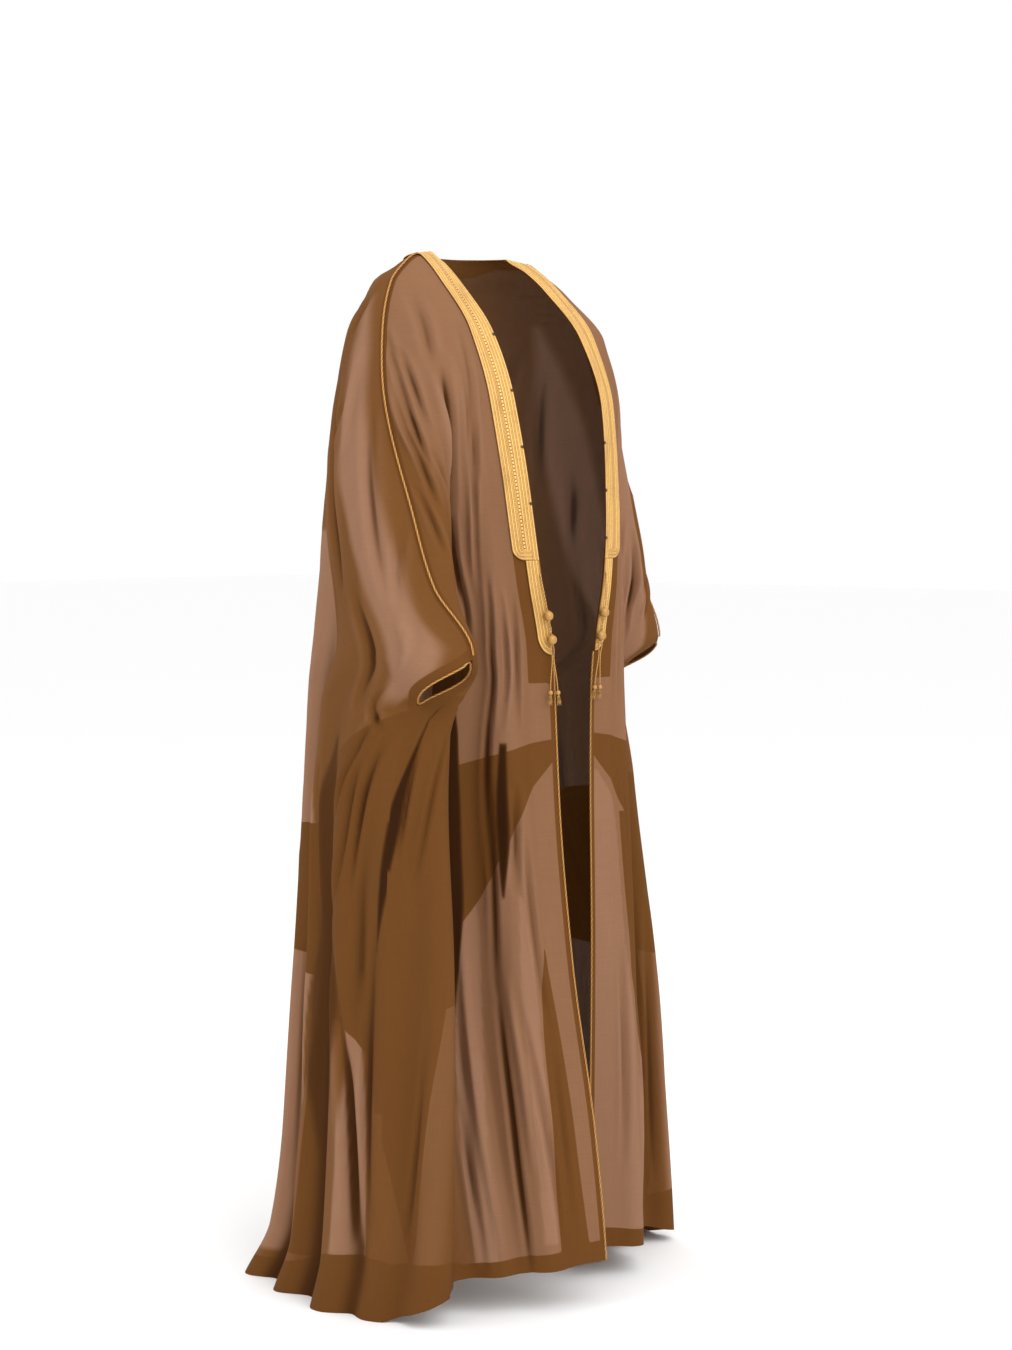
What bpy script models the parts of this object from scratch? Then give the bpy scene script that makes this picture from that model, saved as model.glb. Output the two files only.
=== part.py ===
"""A bisht cloak in the form it takes when worn: an open, sheer woollen cloak with a gold
band round the neck and down the front, gold cords on its seams and edges, and a pair of
tassels. The cloth is a thin wall, open at the neck, front, cuffs and hem.

Metres, +Z up. The wearer faces -Y, so the wearer's right is -X. The origin lies between
the two points where the shoulder seams meet the neck, which is where the cloak is held.

Run with: blender --background --python part.py
"""
import math

import bpy
import bmesh
import numpy as np
from mathutils import Vector

# Driving sizes, metres
NECK_HEIGHT = 1.520          # neck points above the floor that the train lies on
WALL = 0.0012                # cloth wall
SEAM_GAP = 0.0003            # clearance between neighbouring pieces
BAND_WALL = 0.0013           # thickness of the embroidered band
BAND_STEPS = (0.020, 0.038)  # widths of the narrow and the wide band from the front edge
CORD_RADIUS = 0.0015
CORD_SIDES = 6
CORD_LIFT = WALL + 0.0021    # from the cloth's inner face to the middle of a cord on its outer face
BEAD_RADIUS = 0.0070
SMALL_BEAD_RADIUS = 0.0034
STRING_RADIUS = 0.0010

# Heights above the floor, metres
WIDE_BAND_END = 1.075
NARROW_BAND_END = 0.940
FACING_END = 0.900

# The grid that every panel shares
FRONT_COLUMNS = 16           # cells between the wide band and the side
NECK_COLUMNS = 3             # cells from a neck point to the centre back
TUCK_ROWS = 4
LOWER_ROWS = 8
SPAN_SAMPLES = 12            # samples between two landmarks of a section

# Cross-sections of the worn cloak, millimetres, one row for each height above the floor.
# Each landmark is (distance out from the middle plane, distance behind the body's axis):
# edge: front edge, chest: fullest point of the front, crease: bottom of the fold between
# front and sleeve, sleeve: front of the sleeve or of the drape under it, side: shoulder
# seam, then side fold, elbow and rear: round the back of the arm, blade: shoulder blade.
# spine is how far the centre back lies behind the axis.
# Columns: height, edge, chest, crease, sleeve, side, elbow, rear, blade, spine
RIGHT_SECTIONS = (
    (1520, (85, 70), (85, 70), (85, 70), (85, 70), (85, 70), (80, 84), (66, 103), (37, 121), 127),
    (1513, (87, 60), (93, 56), (102, 54), (116, 55), (130, 61), (127, 73), (102, 95), (55, 122), 132),
    (1500, (91, 38), (103, 35), (119, 35), (140, 42), (154, 58), (150, 76), (122, 100), (68, 130), 141),
    (1470, (95, 3), (116, 4), (140, 8), (170, 20), (192, 50), (191, 79), (161, 114), (94, 148), 159),
    (1400, (100, -60), (129, -48), (162, -50), (200, -30), (229, 32), (227, 80), (194, 134), (111, 173), 185),
    (1300, (100, -101), (138, -82), (182, -78), (232, -64), (260, 0), (260, 60), (214, 142), (122, 194), 205),
    (1160, (95, -127), (140, -100), (200, -64), (252, -102), (284, -66), (301, 5), (248, 122), (146, 208), 220),
    (1040, (83, -138), (134, -107), (204, -54), (262, -130), (290, -117), (320, -30), (262, 114), (154, 214), 228),
    (950, (71, -146), (127, -111), (203, -45), (254, -152), (283, -180), (326, -70), (275, 104), (161, 218), 234),
    (870, (67, -147), (125, -112), (199, -37), (260, -120), (300, -88), (322, -22), (281, 98), (166, 222), 238),
    (730, (61, -150), (122, -116), (192, -28), (270, -118), (310, -52), (320, 16), (281, 108), (171, 231), 246),
    (500, (53, -168), (122, -130), (190, -34), (267, -125), (306, -40), (311, 32), (273, 126), (174, 244), 258),
    (250, (43, -203), (125, -158), (196, -58), (263, -127), (303, -28), (307, 42), (274, 143), (182, 258), 276),
    (80, (37, -218), (130, -172), (206, -82), (259, -122), (300, -18), (307, 52), (276, 157), (194, 284), 305),
    (0, (35, -222), (132, -176), (212, -92), (262, -112), (304, -6), (313, 58), (284, 178), (222, 312), 340),
)
LEFT_SECTIONS = (
    (1520, (85, 70), (85, 70), (85, 70), (85, 70), (85, 70), (80, 84), (66, 103), (37, 121), 127),
    (1513, (87, 60), (93, 56), (102, 54), (116, 55), (130, 61), (127, 73), (102, 95), (55, 122), 132),
    (1500, (91, 38), (103, 35), (119, 35), (140, 42), (154, 58), (150, 76), (122, 100), (68, 130), 141),
    (1470, (95, 3), (116, 2), (140, 6), (170, 20), (192, 50), (191, 79), (161, 114), (94, 148), 159),
    (1400, (98, -60), (126, -57), (160, -57), (196, -26), (229, 33), (228, 80), (195, 134), (112, 174), 185),
    (1300, (100, -99), (136, -92), (176, -74), (228, -26), (256, 18), (262, 68), (222, 143), (125, 196), 205),
    (1160, (95, -112), (138, -104), (188, -56), (250, -45), (278, -2), (291, 55), (250, 130), (148, 209), 220),
    (1040, (80, -119), (132, -112), (196, -44), (262, -61), (291, -30), (305, 35), (262, 124), (156, 214), 228),
    (950, (62, -119), (128, -116), (200, -38), (256, -66), (294, -62), (322, 6), (270, 118), (162, 217), 234),
    (880, (57, -118), (126, -118), (198, -32), (252, -24), (292, 30), (306, 72), (265, 134), (165, 221), 238),
    (730, (55, -119), (126, -124), (194, -22), (273, -30), (305, 30), (307, 80), (266, 146), (171, 231), 246),
    (500, (55, -122), (132, -132), (194, -26), (280, -51), (315, 15), (316, 80), (275, 158), (178, 247), 258),
    (250, (55, -120), (140, -142), (202, -42), (290, -67), (325, 5), (327, 80), (285, 168), (188, 262), 276),
    (80, (52, -118), (146, -148), (212, -58), (298, -77), (332, 0), (335, 85), (295, 182), (202, 291), 305),
    (0, (50, -116), (150, -152), (218, -66), (302, -80), (338, 0), (342, 90), (305, 197), (230, 315), 340),
)

# Each side: its sections, the sign of its x, its cuff's heights and half width, and the
# hem's heights above the floor from the front edge to the side
SIDES = {
    "right": {"sections": RIGHT_SECTIONS, "sign": -1.0, "cuff_top": 0.943, "cuff_bottom": 0.878,
              "cuff_half_width": 0.034, "hem": (0.069, 0.048, 0.0)},
    "left": {"sections": LEFT_SECTIONS, "sign": 1.0, "cuff_top": 0.946, "cuff_bottom": 0.892,
             "cuff_half_width": 0.018, "hem": (0.050, 0.030, 0.0)},
}

# Upper rows, as fractions of the way from the shoulder to the tuck seam. The first two
# give the band's width across the back of the neck, and the band's ends add their own.
TUCK_AT_EDGE = 0.820         # height of the tuck seam at the front edge
TUCK_AT_SIDE = 0.715
TUCK_AT_SPINE = 0.665
TUCK_DEPTH_EDGE = 0.028      # how far the doubled cloth hangs below the seam
TUCK_DEPTH_SIDE = 0.280
TUCK_DEPTH_SPINE = 0.120
TUCK_DEEPEST = 0.6           # share of the front's width at which the doubled cloth is deepest
HEM_SHARES = (0.0, 0.66, 0.95)   # shares of the front's width at which SIDES gives the hem
ROUND_END = 0.018            # how far the rounded end of the wide band reaches
UPPER_SPAN = NECK_HEIGHT - TUCK_AT_EDGE
UPPER_FRACTIONS = tuple(sorted((
    0.0, 0.020, 0.040, 0.10, 0.165, 0.23, 0.30, 0.37, 0.44, 0.51, 0.565,
    (NECK_HEIGHT - WIDE_BAND_END - ROUND_END) / UPPER_SPAN,
    (NECK_HEIGHT - WIDE_BAND_END) / UPPER_SPAN,
    0.70, 0.765,
    (NECK_HEIGHT - NARROW_BAND_END) / UPPER_SPAN,
    (NECK_HEIGHT - FACING_END) / UPPER_SPAN,
    0.945, 1.0)))
WIDE_BAND_ROW = UPPER_FRACTIONS.index((NECK_HEIGHT - WIDE_BAND_END) / UPPER_SPAN)
NARROW_BAND_ROW = UPPER_FRACTIONS.index((NECK_HEIGHT - NARROW_BAND_END) / UPPER_SPAN)
FACING_ROW = UPPER_FRACTIONS.index((NECK_HEIGHT - FACING_END) / UPPER_SPAN)
CUFF_ROWS = 8                # rows of the side column that lie on the open cuff
CUFF_SPREAD = 0.060          # distance over which the cuff's opening fades
CUFF_CORD_REACH = 0.0022     # from the edge of a cuff's opening to the middle of its cord
CUFF_END_REACH = 0.0045      # the same at the opening's pointed ends
TUCK_ROW = len(UPPER_FRACTIONS) - 1
TUCK_END_ROW = TUCK_ROW + TUCK_ROWS
LAST_ROW = TUCK_END_ROW + LOWER_ROWS

# The large folds. a runs from 0 at the front edge, or at a neck point on the back, to 1
# at the side; the back's centre is below 0. A fold runs from a_top at the height top to
# a_bottom at the height bottom, and stands out by depth (mm), or in where it is negative.
# Columns: panel, a_top, a_bottom, top, bottom, depth, width
FOLDS = (
    ("front_right", 0.17, 0.16, 1.38, 0.00, 6, 0.100),
    ("front_right", 0.28, 0.27, 1.25, 0.00, -9, 0.100),
    ("front_right", 0.40, 0.38, 1.15, 0.00, 9, 0.100),
    ("front_right", 0.66, 0.68, 0.90, 0.00, -9, 0.100),
    ("front_right", 0.78, 0.80, 0.86, 0.00, 10, 0.100),
    ("front_right", 0.90, 0.91, 0.82, 0.00, -9, 0.090),
    ("front_left", 0.18, 0.17, 1.30, 0.00, 7, 0.100),
    ("front_left", 0.29, 0.28, 1.20, 0.00, -9, 0.100),
    ("front_left", 0.41, 0.40, 1.10, 0.00, 9, 0.100),
    ("front_left", 0.68, 0.69, 0.88, 0.00, -10, 0.100),
    ("front_left", 0.80, 0.81, 0.84, 0.00, 11, 0.100),
    ("back_right", 0.91, 0.92, 0.90, 0.00, -19, 0.110),
    ("back_right", 0.79, 0.80, 0.98, 0.00, 8, 0.110),
    ("back_right", 0.67, 0.68, 1.06, 0.00, -24, 0.110),
    ("back_right", 0.56, 0.57, 1.14, 0.00, 8, 0.105),
    ("back_right", 0.44, 0.46, 1.22, 0.00, -26, 0.110),
    ("back_right", 0.33, 0.35, 1.28, 0.00, 9, 0.110),
    ("back_right", 0.21, 0.23, 1.32, 0.00, -23, 0.110),
    ("back_right", 0.10, 0.12, 1.36, 0.00, 8, 0.105),
    ("back_right", -0.02, 0.00, 1.36, 0.00, -22, 0.110),
    ("back_left", 0.90, 0.91, 0.90, 0.00, -16, 0.110),
    ("back_left", 0.77, 0.79, 0.98, 0.00, 9, 0.115),
    ("back_left", 0.65, 0.66, 1.06, 0.00, -23, 0.110),
    ("back_left", 0.54, 0.55, 1.14, 0.00, 9, 0.105),
    ("back_left", 0.42, 0.44, 1.22, 0.00, -24, 0.110),
    ("back_left", 0.31, 0.32, 1.28, 0.00, 8, 0.110),
    ("back_left", 0.19, 0.21, 1.32, 0.00, -26, 0.110),
    ("back_left", 0.08, 0.10, 1.36, 0.00, 8, 0.105),
    ("back_left", -0.04, -0.01, 1.34, 0.00, -20, 0.110),
)
FOLD_FADE = 0.55             # height over which a fold grows from its upper end
SEAM_FADE = 0.10             # cloth next to a seam or a front edge over which folds die out

# Tassels: heights of the beads, and the length of the strings' frayed ends
TASSEL_TOP = 1.055
UPPER_BEAD = 0.996
LOWER_BEAD = 0.962
SMALL_BEAD = 0.886
FRAY = 0.016
STRING_SPREAD = 0.0055       # half the distance between the two strings' beads
BEAD_INSET = 0.3             # shares of a bead's radius that its middle lies in from the edge
STRAND_SPLAY = 1.1           # how far a strand moves out, as a share of its start's distance
STRAND_WIDTH = 0.45          # a strand's end as a share of its start

# Plain finishes: colour, roughness, metallic
FINISHES = {
    "cloth": ((0.175, 0.080, 0.034), 0.85, 0.0),
    "tuck_cloth": ((0.120, 0.050, 0.018), 0.85, 0.0),
    "gold_band": ((0.760, 0.470, 0.160), 0.45, 0.30),
    "gold_cord": ((0.680, 0.400, 0.120), 0.45, 0.30),
    "bead": ((0.780, 0.520, 0.200), 0.55, 0.10),
}


def smooth_between(knots, values, at):
    """Cubic interpolation of a table's rows that never passes beyond them: each inner
    slope is the harmonic mean of its neighbours', or level where they change sign."""
    steps = np.diff(knots).reshape((-1,) + (1,) * (values.ndim - 1))
    rates = np.diff(values, axis=0) / steps
    product = rates[:-1] * rates[1:]
    total = rates[:-1] + rates[1:]
    level = product <= 0
    inner = np.where(level, 0.0, 2 * product / np.where(level, 1.0, total))
    slopes = np.concatenate([rates[:1], inner, rates[-1:]])
    at = np.clip(at, knots[0], knots[-1])
    row = np.clip(np.searchsorted(knots, at, side="right") - 1, 0, len(knots) - 2)
    step = knots[row + 1] - knots[row]
    t = (at - knots[row]) / step
    shape = (-1,) + (1,) * (values.ndim - 1)
    t = t.reshape(shape)
    step = step.reshape(shape)
    return ((2 * t**3 - 3 * t**2 + 1) * values[row] + (t**3 - 2 * t**2 + t) * step * slopes[row]
            + (3 * t**2 - 2 * t**3) * values[row + 1] + (t**3 - t**2) * step * slopes[row + 1])


def smooth_step(x):
    """0 below 0, 1 above 1 and a smooth rise between."""
    x = np.clip(x, 0.0, 1.0)
    return x * x * (3.0 - 2.0 * x)


def through(points, samples):
    """A curve through the inner points of an (n, p, 2) array: a cubic with each inner
    point's tangent along its neighbours' chord, sampled evenly between the points."""
    t = np.linspace(0.0, 1.0, samples, endpoint=False)[None, :, None]
    spans = []
    for i in range(1, points.shape[1] - 2):
        before, start, end, after = (points[:, i + k, None, :] for k in (-1, 0, 1, 2))
        chord = np.linalg.norm(end - start, axis=2, keepdims=True)
        leaving = end - before
        arriving = after - start
        leaving = leaving * chord / np.maximum(np.linalg.norm(leaving, axis=2, keepdims=True), 1e-9)
        arriving = arriving * chord / np.maximum(np.linalg.norm(arriving, axis=2, keepdims=True), 1e-9)
        spans.append((2 * t**3 - 3 * t**2 + 1) * start + (t**3 - 2 * t**2 + t) * leaving
                     + (3 * t**2 - 2 * t**3) * end + (t**3 - t**2) * arriving)
    spans.append(points[:, -2, None, :])
    return np.concatenate(spans, axis=1)


def walk(curves, distance):
    """The point of each sampled curve at a distance along it."""
    steps = np.linalg.norm(np.diff(curves, axis=1), axis=2)
    along = np.concatenate([np.zeros((len(curves), 1)), np.cumsum(steps, axis=1)], axis=1)
    distance = np.clip(distance, 0.0, along[:, -1])
    cell = np.clip((along < distance[:, None]).sum(axis=1) - 1, 0, curves.shape[1] - 2)
    rows = np.arange(len(curves))
    span = np.maximum(along[rows, cell + 1] - along[rows, cell], 1e-9)
    t = ((distance - along[rows, cell]) / span)[:, None]
    return curves[rows, cell] * (1 - t) + curves[rows, cell + 1] * t


class Side:
    """One half of the worn cloak: its sections, shoulder seam and cuff."""

    def __init__(self, name):
        settings = SIDES[name]
        self.name = name
        self.sign = settings["sign"]
        self.hem = settings["hem"]
        self.cuff_top = settings["cuff_top"]
        self.cuff_bottom = settings["cuff_bottom"]
        self.cuff_half_width = settings["cuff_half_width"]
        rows = sorted(settings["sections"])
        self.heights = np.array([row[0] for row in rows]) / 1000.0
        spine = [[(0.0, row[-1])] for row in rows]
        marks = [list(row[1:-1]) + middle for row, middle in zip(rows, spine)]
        self.marks = np.array(marks, dtype=float) / 1000.0
        self._measure_seam()

    def landmarks(self, height):
        return smooth_between(self.heights, self.marks, height)

    def opened(self, plan, height, direction):
        """Opens the cuff: points beside the straight line between its ends move out (1) or
        in (-1), by a half sine along the line that fades with the distance from it."""
        place = np.column_stack([plan, height])
        ends = np.array([self.cuff_top, self.cuff_bottom])
        top, bottom = np.column_stack([self.landmarks(ends)[:, 4], ends])
        slit = bottom - top
        along = np.clip((place - top) @ slit / slit.dot(slit), 0.0, 1.0)
        distance = np.linalg.norm(place - top - along[:, None] * slit, axis=1)
        spread = np.sin(math.pi * along) * np.exp(-(distance / CUFF_SPREAD) ** 2)
        moved = plan.copy()
        moved[:, 0] += direction * self.cuff_half_width * spread
        return moved

    def _measure_seam(self):
        """Lengths along the shoulder seam, from the neck point to the cuff."""
        self.seam_heights = np.linspace(self.cuff_top, NECK_HEIGHT, 400)[::-1]
        seam = self.landmarks(self.seam_heights)[:, 4]
        rise = np.diff(self.seam_heights)
        steps = np.hypot(np.linalg.norm(np.diff(seam, axis=0), axis=1), rise)
        self.seam_lengths = np.concatenate([[0.0], np.cumsum(steps)])
        self.seam_length = self.seam_lengths[-1]

    def seam_share(self, height):
        """The share of the seam that lies above a height."""
        shares = self.seam_lengths / self.seam_length
        return np.interp(-height, -self.seam_heights, shares)

    def seam_height(self, share):
        shares = self.seam_lengths / self.seam_length
        return np.interp(share, shares, self.seam_heights)

    def front_curve(self, height):
        """The front's section, from its edge to the side."""
        marks = self.landmarks(height)
        first = 2 * marks[:, 0] - marks[:, 1]
        points = np.concatenate([first[:, None], marks[:, :6]], axis=1)
        return through(points, SPAN_SAMPLES)

    def back_curve(self, height):
        """The back's section, from the side to the centre back."""
        marks = self.landmarks(height)
        mirrored = marks[:, 7] * np.array([-1.0, 1.0])
        points = np.concatenate([marks[:, 3:], mirrored[:, None]], axis=1)
        return through(points, SPAN_SAMPLES)

    def placed(self, plan, height):
        """Points of a section as x, y, z in the part's own frame."""
        return np.stack([self.sign * plan[:, 0], plan[:, 1], height - NECK_HEIGHT], axis=1)


def column_heights(side, share, top, tuck, tuck_end, hem):
    """The heights of one column's rows: shoulder to tuck seam, doubled cloth, then hem.
    Towards the side all the upper rows but the first move down, until they lie abreast of
    rows that divide the cuff evenly."""
    rows = np.arange(TUCK_ROW + 1)
    beside = np.interp(rows, (0, CUFF_ROWS, TUCK_ROW), (side.cuff_top, side.cuff_bottom, tuck))
    near_side = smooth_step((share - 0.5) / 0.5) * np.ones(TUCK_ROW + 1)
    near_side[0] = 0.0
    upper = top + (tuck - top) * np.array(UPPER_FRACTIONS)
    upper = upper * (1 - near_side) + beside * near_side
    middle = tuck + (tuck_end - tuck) * np.arange(1, TUCK_ROWS + 1) / TUCK_ROWS
    lower = tuck_end + (hem - tuck_end) * np.arange(1, LOWER_ROWS + 1) / LOWER_ROWS
    return np.concatenate([upper, middle, lower])


def front_columns(side):
    """Shares of the seam at which the front's columns start: band widths, then even."""
    band = [0.0] + [step / side.seam_length for step in BAND_STEPS]
    rest = np.linspace(band[-1], 1.0, FRONT_COLUMNS + 1)[1:]
    return np.concatenate([band, rest])


def fold_offset(panel, a, height, seam_share):
    """Sum of the panel's folds: a squared cosine across each fold's line, fading in
    below its upper end and dying out at the seams, the front edge and the floor."""
    offset = np.zeros_like(height)
    for name, a_top, a_bottom, top, bottom, depth, width in FOLDS:
        if name != panel:
            continue
        t = np.clip((top - height) / (top - bottom), 0.0, 1.0)
        across = (a - (a_top + (a_bottom - a_top) * t)) / width
        ridge = np.where(np.abs(across) < 1.0, np.cos(np.clip(across, -1, 1) * math.pi / 2) ** 2, 0.0)
        offset += depth / 1000.0 * ridge * smooth_step((top - height) / FOLD_FADE)
    near_seam = smooth_step((seam_share - a) / SEAM_FADE)
    if panel.startswith("front"):
        near_seam = near_seam * smooth_step((a - BAND_STEPS[-1]) / SEAM_FADE)
    return offset * near_seam


def front_panel(side):
    """The front's grid: rows from the shoulder seam to the hem, columns from the front
    edge to the side. The band's columns keep their distance from the edge, and the rest
    share what is left of the section."""
    shares = front_columns(side)
    deeper = np.sin(np.clip(shares / TUCK_DEEPEST, 0, 1) * math.pi / 2)
    depth = TUCK_DEPTH_EDGE + (TUCK_DEPTH_SIDE - TUCK_DEPTH_EDGE) * deeper
    tuck = TUCK_AT_EDGE + (TUCK_AT_SIDE - TUCK_AT_EDGE) * shares
    hem = np.interp(shares, HEM_SHARES, side.hem)
    tops = side.seam_height(shares)
    ends = zip(shares, tops, tuck, tuck - depth, hem)
    heights = np.stack([column_heights(side, *column) for column in ends], axis=1)
    a = np.broadcast_to(shares, heights.shape).ravel()
    height = heights.ravel()
    curves = side.front_curve(height)
    length = np.linalg.norm(np.diff(curves, axis=1), axis=2).sum(axis=1)
    band_share = shares[2]
    reached = np.maximum(side.seam_share(height), 1e-9)
    in_band = np.where(reached > band_share, BAND_STEPS[-1] * a / band_share, length * a / reached)
    further = (a - band_share) / np.maximum(reached - band_share, 1e-9)
    beyond = BAND_STEPS[-1] + further * (length - BAND_STEPS[-1])
    plan = walk(curves, np.where(a <= band_share, in_band, beyond))
    plan = side.opened(plan, height, -1)
    return heights.shape, side.placed(plan, height), a, height


def back_half(side):
    """Half of the back's grid: columns from the side, along the shoulder seam to the neck
    point, then along the neckline to the centre back."""
    neck = side.back_curve(np.array([NECK_HEIGHT]))
    neck_length = np.linalg.norm(np.diff(neck, axis=1), axis=2).sum()
    on_seam = front_columns(side)[::-1]
    on_neck = -neck_length / side.seam_length * np.arange(1, NECK_COLUMNS + 1) / NECK_COLUMNS
    shares = np.concatenate([on_seam, on_neck])
    to_spine = np.clip((1.0 - shares) / (1.0 - shares[-1]), 0, 1)
    tuck = TUCK_AT_SIDE + (TUCK_AT_SPINE - TUCK_AT_SIDE) * to_spine
    depth = TUCK_DEPTH_SIDE + (TUCK_DEPTH_SPINE - TUCK_DEPTH_SIDE) * to_spine
    tops = np.where(shares > 0, side.seam_height(np.maximum(shares, 0)), NECK_HEIGHT)
    ends = zip(shares, tops, tuck, tuck - depth, 0 * tops)
    heights = np.stack([column_heights(side, *column) for column in ends], axis=1)
    a = np.broadcast_to(shares, heights.shape).ravel()
    height = heights.ravel()
    curves = side.back_curve(height)
    length = np.linalg.norm(np.diff(curves, axis=1), axis=2).sum(axis=1)
    from_spine = neck_length + a * side.seam_length
    whole = neck_length + side.seam_share(height) * side.seam_length
    plan = walk(curves, length * (1.0 - np.clip(from_spine / whole, 0, 1)))
    plan = side.opened(plan, height, 1)
    return heights.shape, side.placed(plan, height), a, height


class Cloth:
    """All the cloth as one sheet of triangles with shared points, from which every sewn
    piece is taken. Folds move its points out level, so the hem stays on the floor. Each
    panel keeps its grid of point numbers."""

    def __init__(self, sides):
        self.grids = {}
        blocks = []
        offsets = []
        shapes = []
        for side in sides:
            shape, points, a, height = front_panel(side)
            blocks.append(points)
            offsets.append(fold_offset("front_" + side.name, a, height, side.seam_share(height)))
            shapes.append(("front_" + side.name, shape))
            shape, points, a, height = back_half(side)
            blocks.append(points)
            offsets.append(fold_offset("back_" + side.name, a, height, side.seam_share(height)))
            shapes.append(("back_" + side.name, shape))
        points = np.concatenate(blocks)
        lifted = np.concatenate(offsets)
        rounded = np.round(points, 6)
        _, first, number = np.unique(rounded, axis=0, return_index=True, return_inverse=True)
        number = number.ravel()
        self.points = points[first]
        start = 0
        for name, shape in shapes:
            count = shape[0] * shape[1]
            self.grids[name] = number[start:start + count].reshape(shape)
            start += count
        self.grids["back"] = np.concatenate(
            [self.grids["back_right"], self.grids["back_left"][:, ::-1][:, 1:]], axis=1)
        self.triangles = {
            "front_right": self._cut("front_right", False),
            "front_left": self._cut("front_left", True),
            "back": self._cut("back", False),
        }
        self._find_normals()
        level = self.normals * np.array([1.0, 1.0, 0.0])
        level /= np.maximum(np.linalg.norm(level, axis=1, keepdims=True), 1e-12)
        self.points = self.points + level * lifted[first][:, None]
        self._find_normals()

    def _cut(self, name, flipped):
        """Each cell of a grid as two triangles that face out, by its shorter diagonal."""
        grid = self.grids[name]
        cells = {}
        for row in range(grid.shape[0] - 1):
            for column in range(grid.shape[1] - 1):
                below = grid[row + 1]
                corner = (grid[row, column], grid[row, column + 1], below[column + 1], below[column])
                cells[row, column] = self._halves(corner, self._falls(name, row, column, corner), flipped)
        return cells

    def _falls(self, name, row, column, corner):
        """Whether the cell is cut from its first corner. Where a band's end or its turn at
        the neck crosses a cell, the cut follows the band."""
        if name == "back":
            seam_columns = len(front_columns(SIDE_OBJECTS[0])) - 1
            last = self.grids[name].shape[1] - 2
            if row < 2 and seam_columns - 2 <= column < seam_columns:
                return True
            if row < 2 and last - seam_columns < column <= last - seam_columns + 2:
                return False
        elif row == WIDE_BAND_ROW - 1 and column < 2:
            return column == 0
        elif row == NARROW_BAND_ROW - 1 and column == 0:
            return False
        points = self.points[list(corner)]
        return np.linalg.norm(points[0] - points[2]) <= np.linalg.norm(points[1] - points[3])

    @staticmethod
    def _halves(corner, falls, flipped):
        a, b, c, d = corner
        halves = ((a, b, c), (a, c, d)) if falls else ((a, b, d), (b, c, d))
        kept = [half for half in halves if len(set(half)) == 3]
        return [half[::-1] for half in kept] if flipped else kept

    def _find_normals(self):
        """Each point's normal: the mean of its triangles' unit normals."""
        pairs = [pair for cells in self.triangles.values() for pair in cells.values()]
        triangles = np.array([half for pair in pairs for half in pair])
        corners = self.points[triangles]
        facing = np.cross(corners[:, 1] - corners[:, 0], corners[:, 2] - corners[:, 0])
        facing /= np.maximum(np.linalg.norm(facing, axis=1, keepdims=True), 1e-12)
        normals = np.zeros_like(self.points)
        for corner in range(3):
            np.add.at(normals, triangles[:, corner], facing)
        self.normals = normals / np.maximum(np.linalg.norm(normals, axis=1, keepdims=True), 1e-12)

    def region(self, name, rows, columns, keep=None):
        """The triangles of a block of cells. keep chooses halves of single cells."""
        chosen = []
        for row in range(*rows):
            for column in range(*columns):
                for half in self.triangles[name][row, column]:
                    if keep is None or keep(row, column, half):
                        chosen.append(half)
        return chosen


def finish(name):
    """The plain material of a finish, made once."""
    material = bpy.data.materials.get(name)
    if material is None:
        colour, roughness, metallic = FINISHES[name]
        material = bpy.data.materials.new(name)
        material.use_nodes = True
        shader = material.node_tree.nodes["Principled BSDF"]
        shader.inputs["Base Color"].default_value = (*colour, 1.0)
        shader.inputs["Roughness"].default_value = roughness
        shader.inputs["Metallic"].default_value = metallic
    return material


def add_object(name, points, faces, finish_name):
    mesh = bpy.data.meshes.new(name)
    mesh.from_pydata([tuple(point) for point in points], [], faces)
    mesh.validate()
    mesh.shade_smooth()
    mesh.set_sharp_from_angle(angle=math.radians(60))
    mesh.materials.append(finish(finish_name))
    made = bpy.data.objects.new(name, mesh)
    bpy.context.scene.collection.objects.link(made)
    return made


def sheet(cloth, name, triangles, inner, outer, finish_name):
    """A closed wall on some of the cloth's triangles, from inner to outer along the
    normals. Its outline is drawn in by half the seam gap all round."""
    numbers = sorted({point for half in triangles for point in half})
    place = {point: i for i, point in enumerate(numbers)}
    edges = {(half[i], half[(i + 1) % 3]) for half in triangles for i in range(3)}
    outline = [edge for edge in edges if (edge[1], edge[0]) not in edges]
    outline.sort()
    base = cloth.points[numbers].copy()
    normals = cloth.normals[numbers]
    neighbours = {}
    for a, b in edges:
        neighbours.setdefault(a, set()).add(b)
        neighbours.setdefault(b, set()).add(a)
    on_outline = {point for edge in outline for point in edge}
    for point in sorted(on_outline):
        around = [cloth.points[other] for other in sorted(neighbours[point])]
        towards = np.mean(around, axis=0) - cloth.points[point]
        length = np.linalg.norm(towards)
        if length > 1e-9:
            base[place[point]] += towards / length * min(SEAM_GAP * 0.75, length * 0.25)
    count = len(numbers)
    points = np.concatenate([base + normals * outer, base + normals * inner])
    faces = [tuple(place[point] for point in half) for half in triangles]
    faces += [tuple(place[point] + count for point in half[::-1]) for half in triangles]
    for a, b in outline:
        faces.append((place[a] + count, place[b] + count, place[b], place[a]))
    return add_object(name, points, faces, finish_name)


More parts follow.
